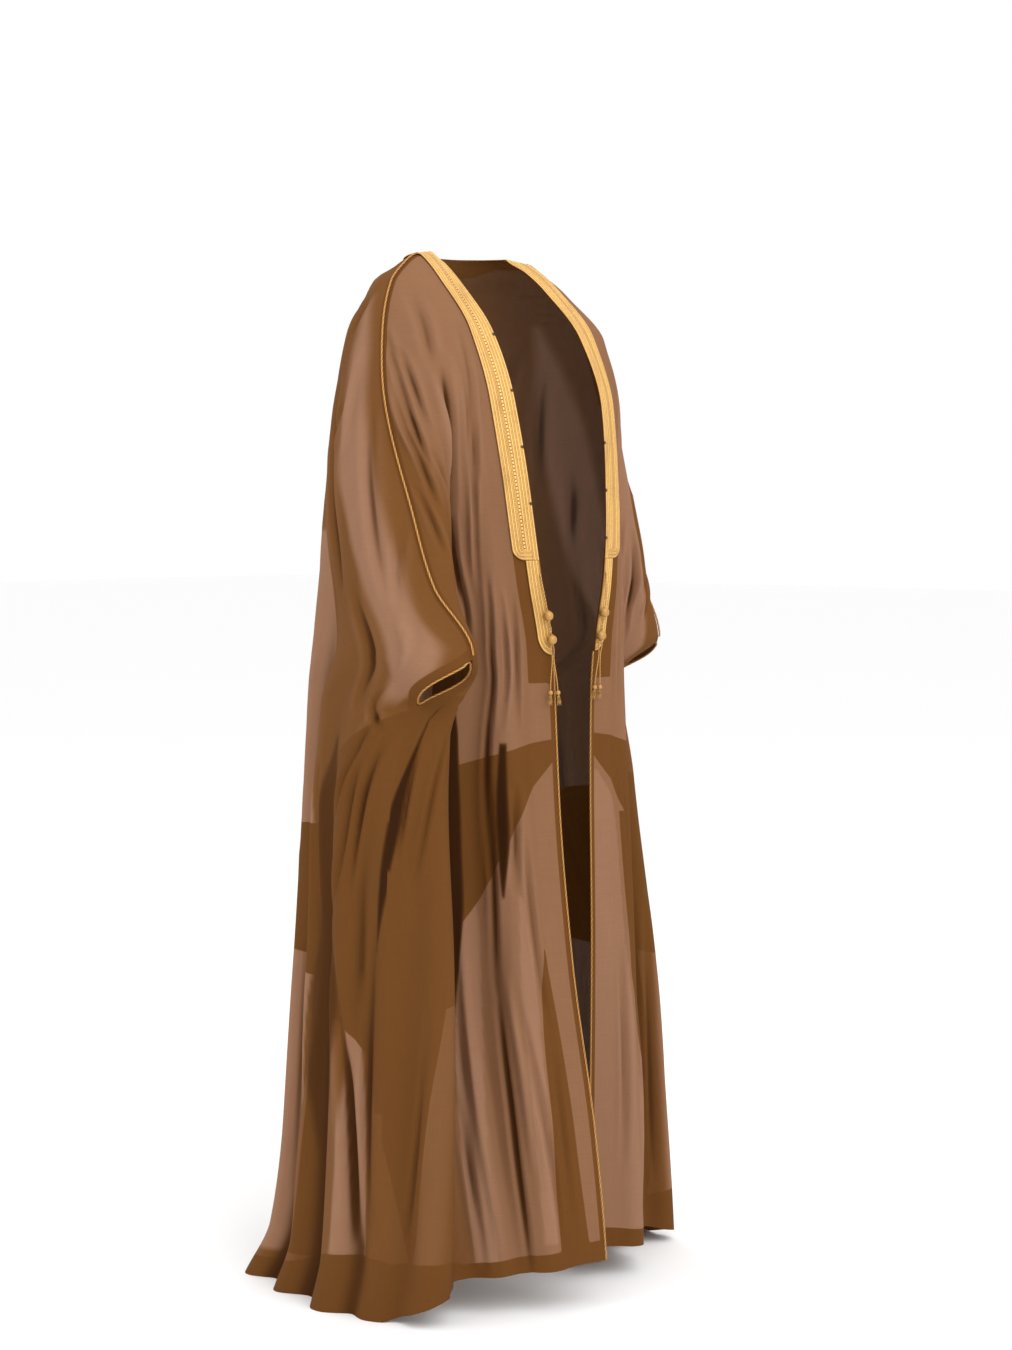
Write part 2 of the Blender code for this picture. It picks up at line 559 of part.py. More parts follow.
def across_path(path, closed=False):
    """Two unit directions across a path at each of its points, carried along it."""
    ahead = np.roll(path, -1, axis=0) - path
    behind = path - np.roll(path, 1, axis=0)
    if not closed:
        ahead[-1] = behind[-1]
        behind[0] = ahead[0]
    ahead /= np.linalg.norm(ahead, axis=1, keepdims=True)
    behind /= np.linalg.norm(behind, axis=1, keepdims=True)
    tangent = ahead + behind
    tangent /= np.linalg.norm(tangent, axis=1, keepdims=True)
    first = np.zeros_like(path)
    start = np.cross(tangent[0], (0.0, 0.0, 1.0) if abs(tangent[0][2]) < 0.9 else (0.0, 1.0, 0.0))
    for i, direction in enumerate(tangent):
        start = start - direction * start.dot(direction)
        start = start / np.linalg.norm(start)
        first[i] = start
    return first, np.cross(tangent, first)


def tube(name, path, radii, sides, finish_name, closed=False):
    """A tube of a radius for each point of its path, with flat ends or closed in a ring."""
    first, second = across_path(path, closed)
    angles = np.arange(sides) * 2 * math.pi / sides
    circle = first[:, None] * np.cos(angles)[None, :, None] + second[:, None] * np.sin(angles)[None, :, None]
    radii = np.broadcast_to(np.asarray(radii, dtype=float), (len(path),))
    points = (path[:, None] + circle * radii[:, None, None]).reshape(-1, 3)
    faces = []
    for i in range(len(path) if closed else len(path) - 1):
        j = (i + 1) % len(path)
        for k in range(sides):
            n = (k + 1) % sides
            faces.append((i * sides + k, i * sides + n, j * sides + n, j * sides + k))
    if not closed:
        faces.append(tuple(range(sides))[::-1])
        faces.append(tuple((len(path) - 1) * sides + k for k in range(sides)))
    return add_object(name, points, faces, finish_name)


def beside_edge(cloth, edge, inside, reach):
    """The middle line of a cord along an edge of the cloth: half way through the wall and
    reach past the edge, straight away from the point abreast of it on the line inside."""
    points = cloth.points[edge]
    along = np.gradient(points, axis=0)
    line = cloth.points[inside]
    away = np.zeros_like(points)
    for i, point in enumerate(points):
        ahead = (line - point) @ along[i]
        abreast = [np.interp(0.0, ahead, line[:, axis]) for axis in range(3)]
        away[i] = point - abreast
    away /= np.linalg.norm(away, axis=1, keepdims=True)
    return points + cloth.normals[edge] * WALL / 2 + away * reach


def panels(cloth):
    """Six panels of cloth: each front and the back, above and below the tuck seam."""
    for name, grid in (("front_right", "front_right"), ("front_left", "front_left"), ("back", "back")):
        columns = (0, cloth.grids[grid].shape[1] - 1)
        upper = cloth.region(grid, (0, TUCK_ROW), columns)
        lower = cloth.region(grid, (TUCK_ROW, LAST_ROW), columns)
        sheet(cloth, name + "_upper", upper, 0.0, WALL, "cloth")
        sheet(cloth, name + "_lower", lower, 0.0, WALL, "cloth")


def tucks(cloth):
    """The doubled cloth of the tuck, which hangs inside the lower panels."""
    for name in ("front_right", "front_left", "back"):
        columns = (0, cloth.grids[name].shape[1] - 1)
        doubled = cloth.region(name, (TUCK_ROW, TUCK_END_ROW), columns)
        sheet(cloth, "tuck_" + name, doubled, -SEAM_GAP - WALL, -SEAM_GAP, "tuck_cloth")


def neck_band(cloth):
    """The wide embroidered band: down both fronts and round the back of the neck."""
    chosen = []
    for name in ("front_right", "front_left"):
        grid = cloth.grids[name]
        dropped = {grid[WIDE_BAND_ROW, 0], grid[WIDE_BAND_ROW, 2]}
        chosen += cloth.region(name, (0, WIDE_BAND_ROW), (0, 2),
                               lambda row, column, half: row < WIDE_BAND_ROW - 1 or not dropped & set(half))
    grid = cloth.grids["back"]
    seam_columns = cloth.grids["front_right"].shape[1] - 1
    right_neck = seam_columns
    left_neck = grid.shape[1] - 1 - seam_columns
    beyond = {grid[1, right_neck - 2], grid[2, right_neck - 1], grid[2, right_neck - 2],
              grid[1, left_neck + 2], grid[2, left_neck + 1], grid[2, left_neck + 2]}
    chosen += cloth.region("back", (0, 2), (right_neck - 2, left_neck + 2),
                           lambda row, column, half: not beyond & set(half))
    sheet(cloth, "neck_band", chosen, WALL + SEAM_GAP, WALL + SEAM_GAP + BAND_WALL, "gold_band")


def front_trim(cloth, side):
    """One front's narrow band, the facing behind it, and the cord on the edge below."""
    name = "front_" + side.name
    grid = cloth.grids[name]
    above = {grid[WIDE_BAND_ROW - 1, 1]}
    corner = {grid[NARROW_BAND_ROW, 1]}
    start = cloth.region(name, (WIDE_BAND_ROW - 1, WIDE_BAND_ROW), (0, 1),
                         lambda row, column, half: not above & set(half))
    body = cloth.region(name, (WIDE_BAND_ROW, NARROW_BAND_ROW), (0, 1),
                        lambda row, column, half: row < NARROW_BAND_ROW - 1 or not corner & set(half))
    sheet(cloth, "narrow_band_" + side.name, start + body,
          WALL + SEAM_GAP, WALL + SEAM_GAP + BAND_WALL, "gold_band")
    facing = cloth.region(name, (WIDE_BAND_ROW, FACING_ROW), (0, 2))
    sheet(cloth, "facing_" + side.name, facing, -SEAM_GAP - WALL, -SEAM_GAP, "tuck_cloth")
    rows = range(NARROW_BAND_ROW, LAST_ROW + 1)
    path = beside_edge(cloth, grid[rows, 0], grid[:, 1], CORD_RADIUS + SEAM_GAP)
    tube("edge_cord_" + side.name, path, CORD_RADIUS, CORD_SIDES, "gold_cord")


def shoulder_piping(cloth, side):
    """The cord on the shoulder seam, from the band's outer edge to the cuff."""
    seam = cloth.grids["front_" + side.name][0, 2:]
    path = cloth.points[seam] + cloth.normals[seam] * CORD_LIFT
    path[0] += (path[1] - path[0]) * 0.06
    last = path[-2] - path[-1]
    path[-1] += last / np.linalg.norm(last) * (2 * CORD_RADIUS + 2 * SEAM_GAP)
    tube("shoulder_piping_" + side.name, path, CORD_RADIUS, CORD_SIDES, "gold_cord")


def cuff_cord(cloth, side):
    """The cord round a cuff's rim: down the front's edge of the opening and up the back's,
    and across its two ends, where both edges meet."""
    front = cloth.grids["front_" + side.name][:TUCK_ROW]
    back = cloth.grids["back_" + side.name][:TUCK_ROW]
    on_front = beside_edge(cloth, front[1:CUFF_ROWS, -1], front[:, -2], CUFF_CORD_REACH)
    on_back = beside_edge(cloth, back[1:CUFF_ROWS, 0], back[:, 1], CUFF_CORD_REACH)[::-1]
    top = cloth.points[front[0, -1]]
    bottom = cloth.points[front[CUFF_ROWS, -1]]
    slit = (bottom - top) / np.linalg.norm(bottom - top)
    path = np.concatenate([[top + slit * CUFF_END_REACH], on_front, [bottom - slit * CUFF_END_REACH], on_back])
    tube("cuff_cord_" + side.name, path, CORD_RADIUS, CORD_SIDES, "gold_cord", closed=True)


def edge_frame(side, height):
    """A point of the front edge, the outward direction there, and the way along the cloth."""
    curve = side.front_curve(np.array([height]))
    start = side.placed(curve[:, 0], np.array([height]))[0]
    along = side.placed(curve[:, 3], np.array([height]))[0] - start
    along /= np.linalg.norm(along)
    outward = np.cross(along, (0.0, 0.0, -1.0)) * (-side.sign)
    return start, outward, along


def tassel(side):
    """A hanging cord with two large beads, and two strings with small beads and frays."""
    stand_off = BEAD_RADIUS + WALL + BAND_WALL + 3 * SEAM_GAP
    heights = []
    radii = []
    for height, radius in ((TASSEL_TOP, STRING_RADIUS), (UPPER_BEAD + 2.2 * BEAD_RADIUS, STRING_RADIUS)):
        heights.append(height)
        radii.append(radius)
    for centre in (UPPER_BEAD, LOWER_BEAD):
        for turn in np.radians((75, 50, 25, 0, -25, -50, -75)):
            heights.append(centre + BEAD_RADIUS * math.sin(turn))
            radii.append(BEAD_RADIUS * math.cos(turn))
    path = []
    for height in heights:
        start, outward, along = edge_frame(side, height)
        path.append(start + outward * stand_off + along * BEAD_RADIUS * BEAD_INSET)
    start, outward, along = edge_frame(side, TASSEL_TOP)
    on_band = STRING_RADIUS + WALL + BAND_WALL + 3 * SEAM_GAP
    path[0] = start + outward * on_band + along * BEAD_RADIUS * BEAD_INSET
    tube("tassel_head_" + side.name, np.array(path), radii, 8, "bead")
    for number, spread in ((1, -STRING_SPREAD), (2, STRING_SPREAD)):
        tassel_string(side, number, spread, stand_off)


def tassel_string(side, number, spread, stand_off):
    """One string under the lower bead: its small bead's rounded profile, then a fray of
    three-sided strands drawn out of the bead's lower faces."""
    top = LOWER_BEAD - BEAD_RADIUS - SEAM_GAP
    heights = [top, (top + SMALL_BEAD) / 2, SMALL_BEAD + 1.6 * SMALL_BEAD_RADIUS]
    radii = [STRING_RADIUS] * 3
    for turn in np.radians((60, 25, -10, -45)):
        heights.append(SMALL_BEAD + SMALL_BEAD_RADIUS * math.sin(turn))
        radii.append(SMALL_BEAD_RADIUS * math.cos(turn))
    path = []
    for height in heights:
        start, outward, along = edge_frame(side, height)
        t = min((top - height) / (top - SMALL_BEAD), 1.0)
        apart = math.copysign(1.6 * STRING_RADIUS, spread) * (1 - t) + spread * t
        shift = BEAD_RADIUS * BEAD_INSET + apart
        path.append(start + outward * (stand_off - 0.001 * t) + along * shift)
    made = tube(f"tassel_string_{side.name}_{number}", np.array(path), radii, 8, "bead")
    fray(made, path[-1])


def fray(made, end):
    """Draws strands down out of every other triangle of a tube's flat lower end."""
    editor = bmesh.new()
    editor.from_mesh(made.data)
    ends = [face for face in editor.faces if len(face.verts) == 8]
    cap = min(ends, key=lambda face: face.calc_center_median().z)
    fan = bmesh.ops.poke(editor, faces=[cap])["faces"]
    centre = Vector(end)
    for face in fan[::2]:
        strand = bmesh.ops.extrude_discrete_faces(editor, faces=[face])["faces"][0]
        middle = strand.calc_center_median()
        splay = (middle - centre) * STRAND_SPLAY
        for vertex in strand.verts:
            vertex.co = middle + (vertex.co - middle) * STRAND_WIDTH + splay + Vector((0.0, 0.0, -FRAY))
    editor.normal_update()
    editor.to_mesh(made.data)
    editor.free()


def main():
    for old in list(bpy.data.objects):
        bpy.data.objects.remove(old)
    cloth = Cloth(SIDE_OBJECTS)
    panels(cloth)
    tucks(cloth)
    neck_band(cloth)
    for side in SIDE_OBJECTS:
        front_trim(cloth, side)
        shoulder_piping(cloth, side)
        cuff_cord(cloth, side)
        tassel(side)


SIDE_OBJECTS = [Side("right"), Side("left")]
main()
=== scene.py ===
"""A bisht in the form it takes when worn: sheer woollen cloth, gold bands, cords and tassels.

The cloth, bands, cords and tassels are surfaces worked out here in metres, in the frame of the
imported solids: +Z up, the wearer faces -Y, the origin between the two neck points.
"""
import math

import bpy
import numpy as np
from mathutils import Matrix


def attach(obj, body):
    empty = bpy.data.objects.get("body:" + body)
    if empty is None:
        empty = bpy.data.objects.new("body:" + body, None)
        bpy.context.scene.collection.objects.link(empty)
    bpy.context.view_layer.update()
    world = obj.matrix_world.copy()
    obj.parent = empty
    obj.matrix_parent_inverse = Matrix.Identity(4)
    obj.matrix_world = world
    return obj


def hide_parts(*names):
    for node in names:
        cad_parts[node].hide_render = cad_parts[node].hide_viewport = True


bl_info = {
    "name": "Bisht Cloak",
    "version": (1, 0, 0),
    "blender": (4, 5, 0),
    "location": "View3D > Sidebar > Bisht",
    "description": "Makes a worn bisht of sheer wool with gold bands, cords and tassels",
    "category": "Add Mesh",
}

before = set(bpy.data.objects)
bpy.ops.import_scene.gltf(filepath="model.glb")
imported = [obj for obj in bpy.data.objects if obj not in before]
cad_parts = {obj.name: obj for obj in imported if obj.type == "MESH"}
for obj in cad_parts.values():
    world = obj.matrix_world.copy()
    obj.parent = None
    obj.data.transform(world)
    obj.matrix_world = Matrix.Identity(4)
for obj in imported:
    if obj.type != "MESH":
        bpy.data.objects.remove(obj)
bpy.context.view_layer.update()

MM = 0.001

# Sizes of the solid model that the cloth follows, metres
NECK_HEIGHT = 1.520          # neck points above the floor
WALL = 0.0012                # thickness of the cloth's solid
SEAM_GAP = 0.0003
BAND_WIDTH = 0.038
NARROW_BAND_WIDTH = 0.020
WIDE_BAND_END = 1.075        # heights above the floor
NARROW_BAND_END = 0.940
FACING_END = 0.900
TUCK_AT_EDGE = 0.820
TUCK_AT_SIDE = 0.715
TUCK_AT_SPINE = 0.665
TUCK_DEPTH_EDGE = 0.028
TUCK_DEPTH_SIDE = 0.280
TUCK_DEPTH_SPINE = 0.120
CUFF_SPREAD = 0.060
CUFF_SHARE = 0.30            # share of the upper rows that lie abreast of the cuff
CORD_RADIUS = 0.0015
CUFF_CORD_REACH = 0.0022
CUFF_END_REACH = 0.0045

# Cross-sections of the worn cloak in millimetres: distance out from the middle plane and
# distance behind the body's axis of each landmark, and of the centre back.
# Columns: height, edge, chest, crease, sleeve, side, elbow, rear, blade, spine
RIGHT_SECTIONS = (
    (1520, (85, 70), (85, 70), (85, 70), (85, 70), (85, 70), (80, 84), (66, 103), (37, 121), 127),
    (1513, (87, 60), (93, 56), (102, 54), (116, 55), (130, 61), (127, 73), (102, 95), (55, 122), 132),
    (1500, (91, 38), (103, 35), (119, 35), (140, 42), (154, 58), (150, 76), (122, 100), (68, 130), 141),
    (1470, (95, 3), (116, 4), (140, 8), (170, 20), (192, 50), (191, 79), (161, 114), (94, 148), 159),
    (1400, (100, -60), (129, -48), (162, -50), (200, -30), (229, 32), (227, 80), (194, 134), (111, 173), 185),
    (1300, (100, -101), (138, -82), (182, -78), (232, -64), (260, 0), (260, 60), (214, 142), (122, 194), 205),
    (1160, (95, -127), (140, -100), (200, -64), (252, -102), (284, -66),
     (301, 5), (248, 122), (146, 208), 220),
    (1040, (83, -138), (134, -107), (204, -54), (262, -130), (290, -117),
     (320, -30), (262, 114), (154, 214), 228),
    (950, (71, -146), (127, -111), (203, -45), (254, -152), (283, -180),
     (326, -70), (275, 104), (161, 218), 234),
    (870, (67, -147), (125, -112), (199, -37), (260, -120), (300, -88),
     (322, -22), (281, 98), (166, 222), 238),
    (730, (61, -150), (122, -116), (192, -28), (270, -118), (310, -52),
     (320, 16), (281, 108), (171, 231), 246),
    (500, (53, -168), (122, -130), (190, -34), (267, -125), (306, -40),
     (311, 32), (273, 126), (174, 244), 258),
    (250, (43, -203), (125, -158), (196, -58), (263, -127), (303, -28),
     (307, 42), (274, 143), (182, 258), 276),
    (80, (37, -218), (130, -172), (206, -82), (259, -122), (300, -18),
     (307, 52), (276, 157), (194, 284), 305),
    (0, (35, -222), (132, -176), (212, -92), (262, -112), (304, -6), (313, 58), (284, 178), (222, 312), 340),
)
LEFT_SECTIONS = (
    (1520, (85, 70), (85, 70), (85, 70), (85, 70), (85, 70), (80, 84), (66, 103), (37, 121), 127),
    (1513, (87, 60), (93, 56), (102, 54), (116, 55), (130, 61), (127, 73), (102, 95), (55, 122), 132),
    (1500, (91, 38), (103, 35), (119, 35), (140, 42), (154, 58), (150, 76), (122, 100), (68, 130), 141),
    (1470, (95, 3), (116, 2), (140, 6), (170, 20), (192, 50), (191, 79), (161, 114), (94, 148), 159),
    (1400, (98, -60), (126, -57), (160, -57), (196, -26), (229, 33), (228, 80), (195, 134), (112, 174), 185),
    (1300, (100, -99), (136, -92), (176, -74), (228, -26), (256, 18), (262, 68), (222, 143), (125, 196), 205),
    (1160, (95, -112), (138, -104), (188, -56), (250, -45), (278, -2),
     (291, 55), (250, 130), (148, 209), 220),
    (1040, (80, -119), (132, -112), (196, -44), (262, -61), (291, -30),
     (305, 35), (262, 124), (156, 214), 228),
    (950, (62, -119), (128, -116), (200, -38), (256, -66), (294, -62), (322, 6), (270, 118), (162, 217), 234),
    (880, (57, -118), (126, -118), (198, -32), (252, -24), (292, 30), (306, 72), (265, 134), (165, 221), 238),
    (730, (55, -119), (126, -124), (194, -22), (273, -30), (305, 30), (307, 80), (266, 146), (171, 231), 246),
    (500, (55, -122), (132, -132), (194, -26), (280, -51), (315, 15), (316, 80), (275, 158), (178, 247), 258),
    (250, (55, -120), (140, -142), (202, -42), (290, -67), (325, 5), (327, 80), (285, 168), (188, 262), 276),
    (80, (52, -118), (146, -148), (212, -58), (298, -77), (332, 0), (335, 85), (295, 182), (202, 291), 305),
    (0, (50, -116), (150, -152), (218, -66), (302, -80), (338, 0), (342, 90), (305, 197), (230, 315), 340),
)
SIDES = {
    "right": {"sections": RIGHT_SECTIONS, "sign": -1.0, "cuff_top": 0.943, "cuff_bottom": 0.878,
              "cuff_half_width": 0.034, "hem": (0.069, 0.048, 0.0)},
    "left": {"sections": LEFT_SECTIONS, "sign": 1.0, "cuff_top": 0.946, "cuff_bottom": 0.892,
             "cuff_half_width": 0.018, "hem": (0.050, 0.030, 0.0)},
}

# The large folds, as the solids have them. a runs from 0 at the front edge, or at a neck
# point on the back, to 1 at the side.
# Columns: panel, a_top, a_bottom, top, bottom, depth (mm, out), width
FOLDS = (
    ("front_right", 0.17, 0.16, 1.38, 0.00, 6, 0.100),
    ("front_right", 0.28, 0.27, 1.25, 0.00, -9, 0.100),
    ("front_right", 0.40, 0.38, 1.15, 0.00, 9, 0.100),
    ("front_right", 0.66, 0.68, 0.90, 0.00, -9, 0.100),
    ("front_right", 0.78, 0.80, 0.86, 0.00, 10, 0.100),
    ("front_right", 0.90, 0.91, 0.82, 0.00, -9, 0.090),
    ("front_left", 0.18, 0.17, 1.30, 0.00, 7, 0.100),
    ("front_left", 0.29, 0.28, 1.20, 0.00, -9, 0.100),
    ("front_left", 0.41, 0.40, 1.10, 0.00, 9, 0.100),
    ("front_left", 0.68, 0.69, 0.88, 0.00, -10, 0.100),
    ("front_left", 0.80, 0.81, 0.84, 0.00, 11, 0.100),
    ("back_right", 0.91, 0.92, 0.90, 0.00, -19, 0.110),
    ("back_right", 0.79, 0.80, 0.98, 0.00, 8, 0.110),
    ("back_right", 0.67, 0.68, 1.06, 0.00, -24, 0.110),
    ("back_right", 0.56, 0.57, 1.14, 0.00, 8, 0.105),
    ("back_right", 0.44, 0.46, 1.22, 0.00, -26, 0.110),
    ("back_right", 0.33, 0.35, 1.28, 0.00, 9, 0.110),
    ("back_right", 0.21, 0.23, 1.32, 0.00, -23, 0.110),
    ("back_right", 0.10, 0.12, 1.36, 0.00, 8, 0.105),
    ("back_right", -0.02, 0.00, 1.36, 0.00, -22, 0.110),
    ("back_left", 0.90, 0.91, 0.90, 0.00, -16, 0.110),
    ("back_left", 0.77, 0.79, 0.98, 0.00, 9, 0.115),
    ("back_left", 0.65, 0.66, 1.06, 0.00, -23, 0.110),
    ("back_left", 0.54, 0.55, 1.14, 0.00, 9, 0.105),
    ("back_left", 0.42, 0.44, 1.22, 0.00, -24, 0.110),
    ("back_left", 0.31, 0.32, 1.28, 0.00, 8, 0.110),
    ("back_left", 0.19, 0.21, 1.32, 0.00, -26, 0.110),
    ("back_left", 0.08, 0.10, 1.36, 0.00, 8, 0.105),
    ("back_left", -0.04, -0.01, 1.34, 0.00, -20, 0.110),
)
FOLD_FADE = 0.55
SEAM_FADE = 0.10

# Smaller creases. Each runs from its upper to its lower end, bends aside by bend, stands out
# by depth at its middle, or in where it is negative, and has a lip of the other sign on both
# sides. width is half its width.
# Columns: panel, a_top, top, a_bottom, bottom, bend (mm), depth (mm), width (mm)
CREASES = (
    ("front_right", 0.28, 1.38, 0.36, 1.26, 5, -7, 8),
    ("front_right", 0.34, 1.34, 0.48, 1.20, 10, -7, 7),
    ("front_right", 0.44, 1.26, 0.56, 1.15, 6, -6, 7),
    ("front_right", 0.58, 1.18, 0.68, 1.08, 4, -5, 8),
    ("front_right", 0.38, 1.33, 0.50, 1.21, -5, 5, 8),
    ("front_right", 0.18, 1.37, 0.28, 1.14, -12, -9, 10),
    ("front_right", 0.13, 1.37, 0.21, 1.13, 4, -6, 8),
    ("front_right", 0.12, 1.28, 0.23, 1.05, -6, -5, 7),
    ("front_right", 0.16, 1.26, 0.26, 1.03, 3, 4, 9),
    ("front_right", 0.30, 1.08, 0.31, 0.96, 0, -8, 9),
    ("front_right", 0.18, 1.06, 0.22, 0.84, -8, -6, 8),
    ("front_right", 0.12, 1.04, 0.16, 0.83, 5, 4, 8),
    ("front_right", 0.08, 1.03, 0.11, 0.83, -4, -5, 7),
    ("front_right", 0.15, 1.00, 0.17, 0.87, 6, -4, 6),
    ("front_right", 0.13, 0.76, 0.15, 0.60, 5, -8, 11),
    ("front_right", 0.10, 0.73, 0.07, 0.38, -5, -5, 8),
    ("front_right", 0.22, 0.77, 0.25, 0.45, 6, -6, 10),
    ("front_right", 0.35, 0.51, 0.34, 0.06, -5, 6, 15),
    ("front_right", 0.24, 0.48, 0.25, 0.05, -6, -7, 9),
    ("front_right", 0.17, 0.44, 0.13, 0.08, 7, -6, 9),
    ("front_right", 0.20, 0.49, 0.20, 0.20, 4, 5, 10),
    ("front_right", 0.06, 0.42, 0.06, 0.10, -8, -5, 8),
    ("front_right", 0.44, 0.35, 0.42, 0.06, 4, -5, 10),
    ("front_right", 0.93, 0.83, 0.97, 0.66, 10, -6, 8),
    ("front_right", 0.83, 0.47, 0.90, 0.12, 6, -5, 10),
    ("front_right", 0.14, 1.46, 0.24, 1.33, 4, -5, 8),
    ("front_right", 0.26, 1.43, 0.37, 1.27, -5, -6, 7),
    ("front_right", 0.08, 1.41, 0.16, 1.18, -6, -6, 9),
    ("front_right", 0.40, 1.23, 0.55, 1.06, 8, -7, 8),
    ("front_right", 0.24, 1.32, 0.36, 1.14, -6, 5, 9),
    ("front_right", 0.28, 1.18, 0.34, 0.98, 0, -9, 9),
    ("front_right", 0.37, 0.62, 0.43, 0.12, 5, -6, 13),
    ("front_right", 0.22, 0.96, 0.24, 0.62, -6, -6, 10),
    ("front_right", 0.50, 0.44, 0.56, 0.08, 8, -7, 15),
    ("front_right", 0.62, 0.40, 0.66, 0.07, -6, 6, 15),
    ("front_right", 0.82, 0.87, 0.90, 0.62, 14, -5, 8),
    ("front_right", 0.74, 0.95, 0.84, 0.86, -6, -5, 9),
    ("front_right", 0.60, 1.08, 0.74, 0.97, 6, -5, 9),
    ("front_right", 0.48, 1.12, 0.62, 0.98, -8, -6, 11),
    ("back_right", 0.86, 0.82, 0.76, 0.57, -16, -7, 10),
    ("back_right", 0.77, 0.54, 0.88, 0.10, -14, -8, 12),
    ("back_right", 0.58, 0.80, 0.60, 0.52, 0, -5, 9),
    ("back_right", 0.26, 1.38, 0.38, 1.22, 0, 5, 9),
    ("back_right", 0.40, 1.30, 0.74, 1.02, 8, -6, 9),
    ("back_right", 0.20, 1.35, 0.55, 1.01, 18, -8, 11),
    ("back_right", 0.22, 1.24, 0.26, 1.06, -6, -5, 11),
    ("back_right", 0.58, 1.05, 0.82, 0.87, 12, -7, 10),
    ("back_right", 0.76, 1.00, 0.86, 0.93, -4, 5, 9),
    ("back_right", 0.84, 0.90, 0.93, 0.84, 8, -6, 7),
    ("back_right", 0.16, 1.45, 0.19, 1.39, 4, -4, 9),
    ("back_right", 0.08, 1.49, 0.15, 1.44, -6, 4, 8),
    ("back_right", 0.28, 1.31, 0.30, 1.22, -3, -4, 8),
    ("back_right", 0.68, 1.12, 0.78, 1.01, 6, -5, 8),
    ("back_right", 0.88, 0.50, 0.93, 0.10, 9, 6, 13),
    ("back_right", 0.95, 0.84, 0.84, 0.60, 6, -7, 9),
    ("back_right", 0.90, 0.87, 0.76, 0.70, 8, -6, 8),
    ("back_right", 0.94, 0.68, 0.90, 0.30, 6, 5, 13),
    ("back_right", 0.42, 0.90, 0.48, 0.42, -14, 6, 13),
    ("back_right", 0.60, 0.60, 0.50, 0.09, -14, -8, 13),
    ("back_right", 0.10, 1.44, 0.16, 1.12, 8, -6, 11),
    ("back_right", 0.02, 1.43, 0.06, 1.16, -6, -6, 12),
    ("back_right", 0.20, 1.26, 0.26, 0.90, -12, -7, 13),
    ("back_right", -0.05, 1.30, -0.02, 0.92, 6, -6, 13),
    ("back_right", 0.12, 1.02, 0.15, 0.70, 5, -6, 12),
    ("back_right", 0.30, 0.98, 0.34, 0.64, -7, -6, 12),
    ("back_right", 0.05, 0.66, 0.08, 0.16, 8, -7, 14),
    ("back_right", 0.26, 0.62, 0.30, 0.08, -9, -8, 14),
    ("back_right", 0.38, 0.60, 0.40, 0.12, 6, -6, 12),
    ("front_left", 0.72, 1.04, 0.80, 0.98, -6, -7, 8),
    ("front_left", 0.62, 1.06, 0.74, 1.00, 5, 5, 10),
    ("front_left", 0.34, 1.28, 0.68, 1.05, 12, -6, 9),
    ("front_left", 0.50, 1.12, 0.72, 0.94, -8, -6, 8),
    ("front_left", 0.09, 1.02, 0.10, 0.86, 0, 4, 8),
    ("front_left", 0.77, 0.55, 0.72, 0.10, -5, -7, 11),
    ("front_left", 0.14, 1.39, 0.33, 1.08, -18, -7, 11),
    ("front_left", 0.34, 1.33, 0.52, 1.17, 11, -6, 8),
    ("front_left", 0.24, 1.22, 0.30, 0.98, 4, -6, 8),
    ("front_left", 0.12, 1.18, 0.16, 0.93, -5, -6, 9),
    ("front_left", 0.42, 1.14, 0.56, 0.96, 8, -6, 10),
    ("front_left", 0.12, 0.80, 0.15, 0.44, -14, -5, 9),
    ("front_left", 0.09, 0.50, 0.10, 0.16, -8, -5, 9),
    ("front_left", 0.26, 0.76, 0.30, 0.40, 9, -7, 12),
    ("front_left", 0.40, 0.58, 0.43, 0.10, -7, -7, 13),
    ("front_left", 0.20, 0.42, 0.24, 0.08, 6, 6, 12),
    ("front_left", 0.58, 0.82, 0.60, 0.36, 8, -7, 12),
    ("front_left", 0.86, 0.84, 0.90, 0.52, -9, -6, 10),
    ("back_left", 0.22, 1.38, 0.38, 1.16, 4, -7, 9),
    ("back_left", 0.12, 1.43, 0.17, 1.14, -7, -6, 11),
    ("back_left", 0.01, 1.40, 0.04, 1.08, 7, -6, 12),
    ("back_left", 0.40, 1.24, 0.68, 0.88, -14, -8, 11),
    ("back_left", 0.60, 1.12, 0.80, 0.92, -8, -6, 9),
    ("back_left", 0.50, 1.20, 0.62, 0.98, 10, 5, 11),
    ("back_left", 0.26, 1.16, 0.30, 0.80, 8, -7, 12),
    ("back_left", 0.10, 1.00, 0.12, 0.62, -6, -6, 12),
    ("back_left", 0.72, 0.84, 0.82, 0.52, 14, -8, 12),
    ("back_left", 0.88, 0.80, 0.90, 0.50, -8, -6, 10),
    ("back_left", 0.52, 0.72, 0.55, 0.22, -9, -8, 13),
    ("back_left", 0.78, 0.48, 0.80, 0.08, 7, -7, 13),
    ("back_left", 0.34, 0.66, 0.37, 0.10, 9, -7, 13),
    ("back_left", 0.16, 0.56, 0.19, 0.08, -8, -7, 14),
    ("back_left", 0.02, 0.64, 0.03, 0.14, 6, -6, 13),
)
LIP = 0.45                   # height of a crease's lips as a share of its depth
LIP_PLACE = 1.9              # distance of the lips as a share of the crease's half width

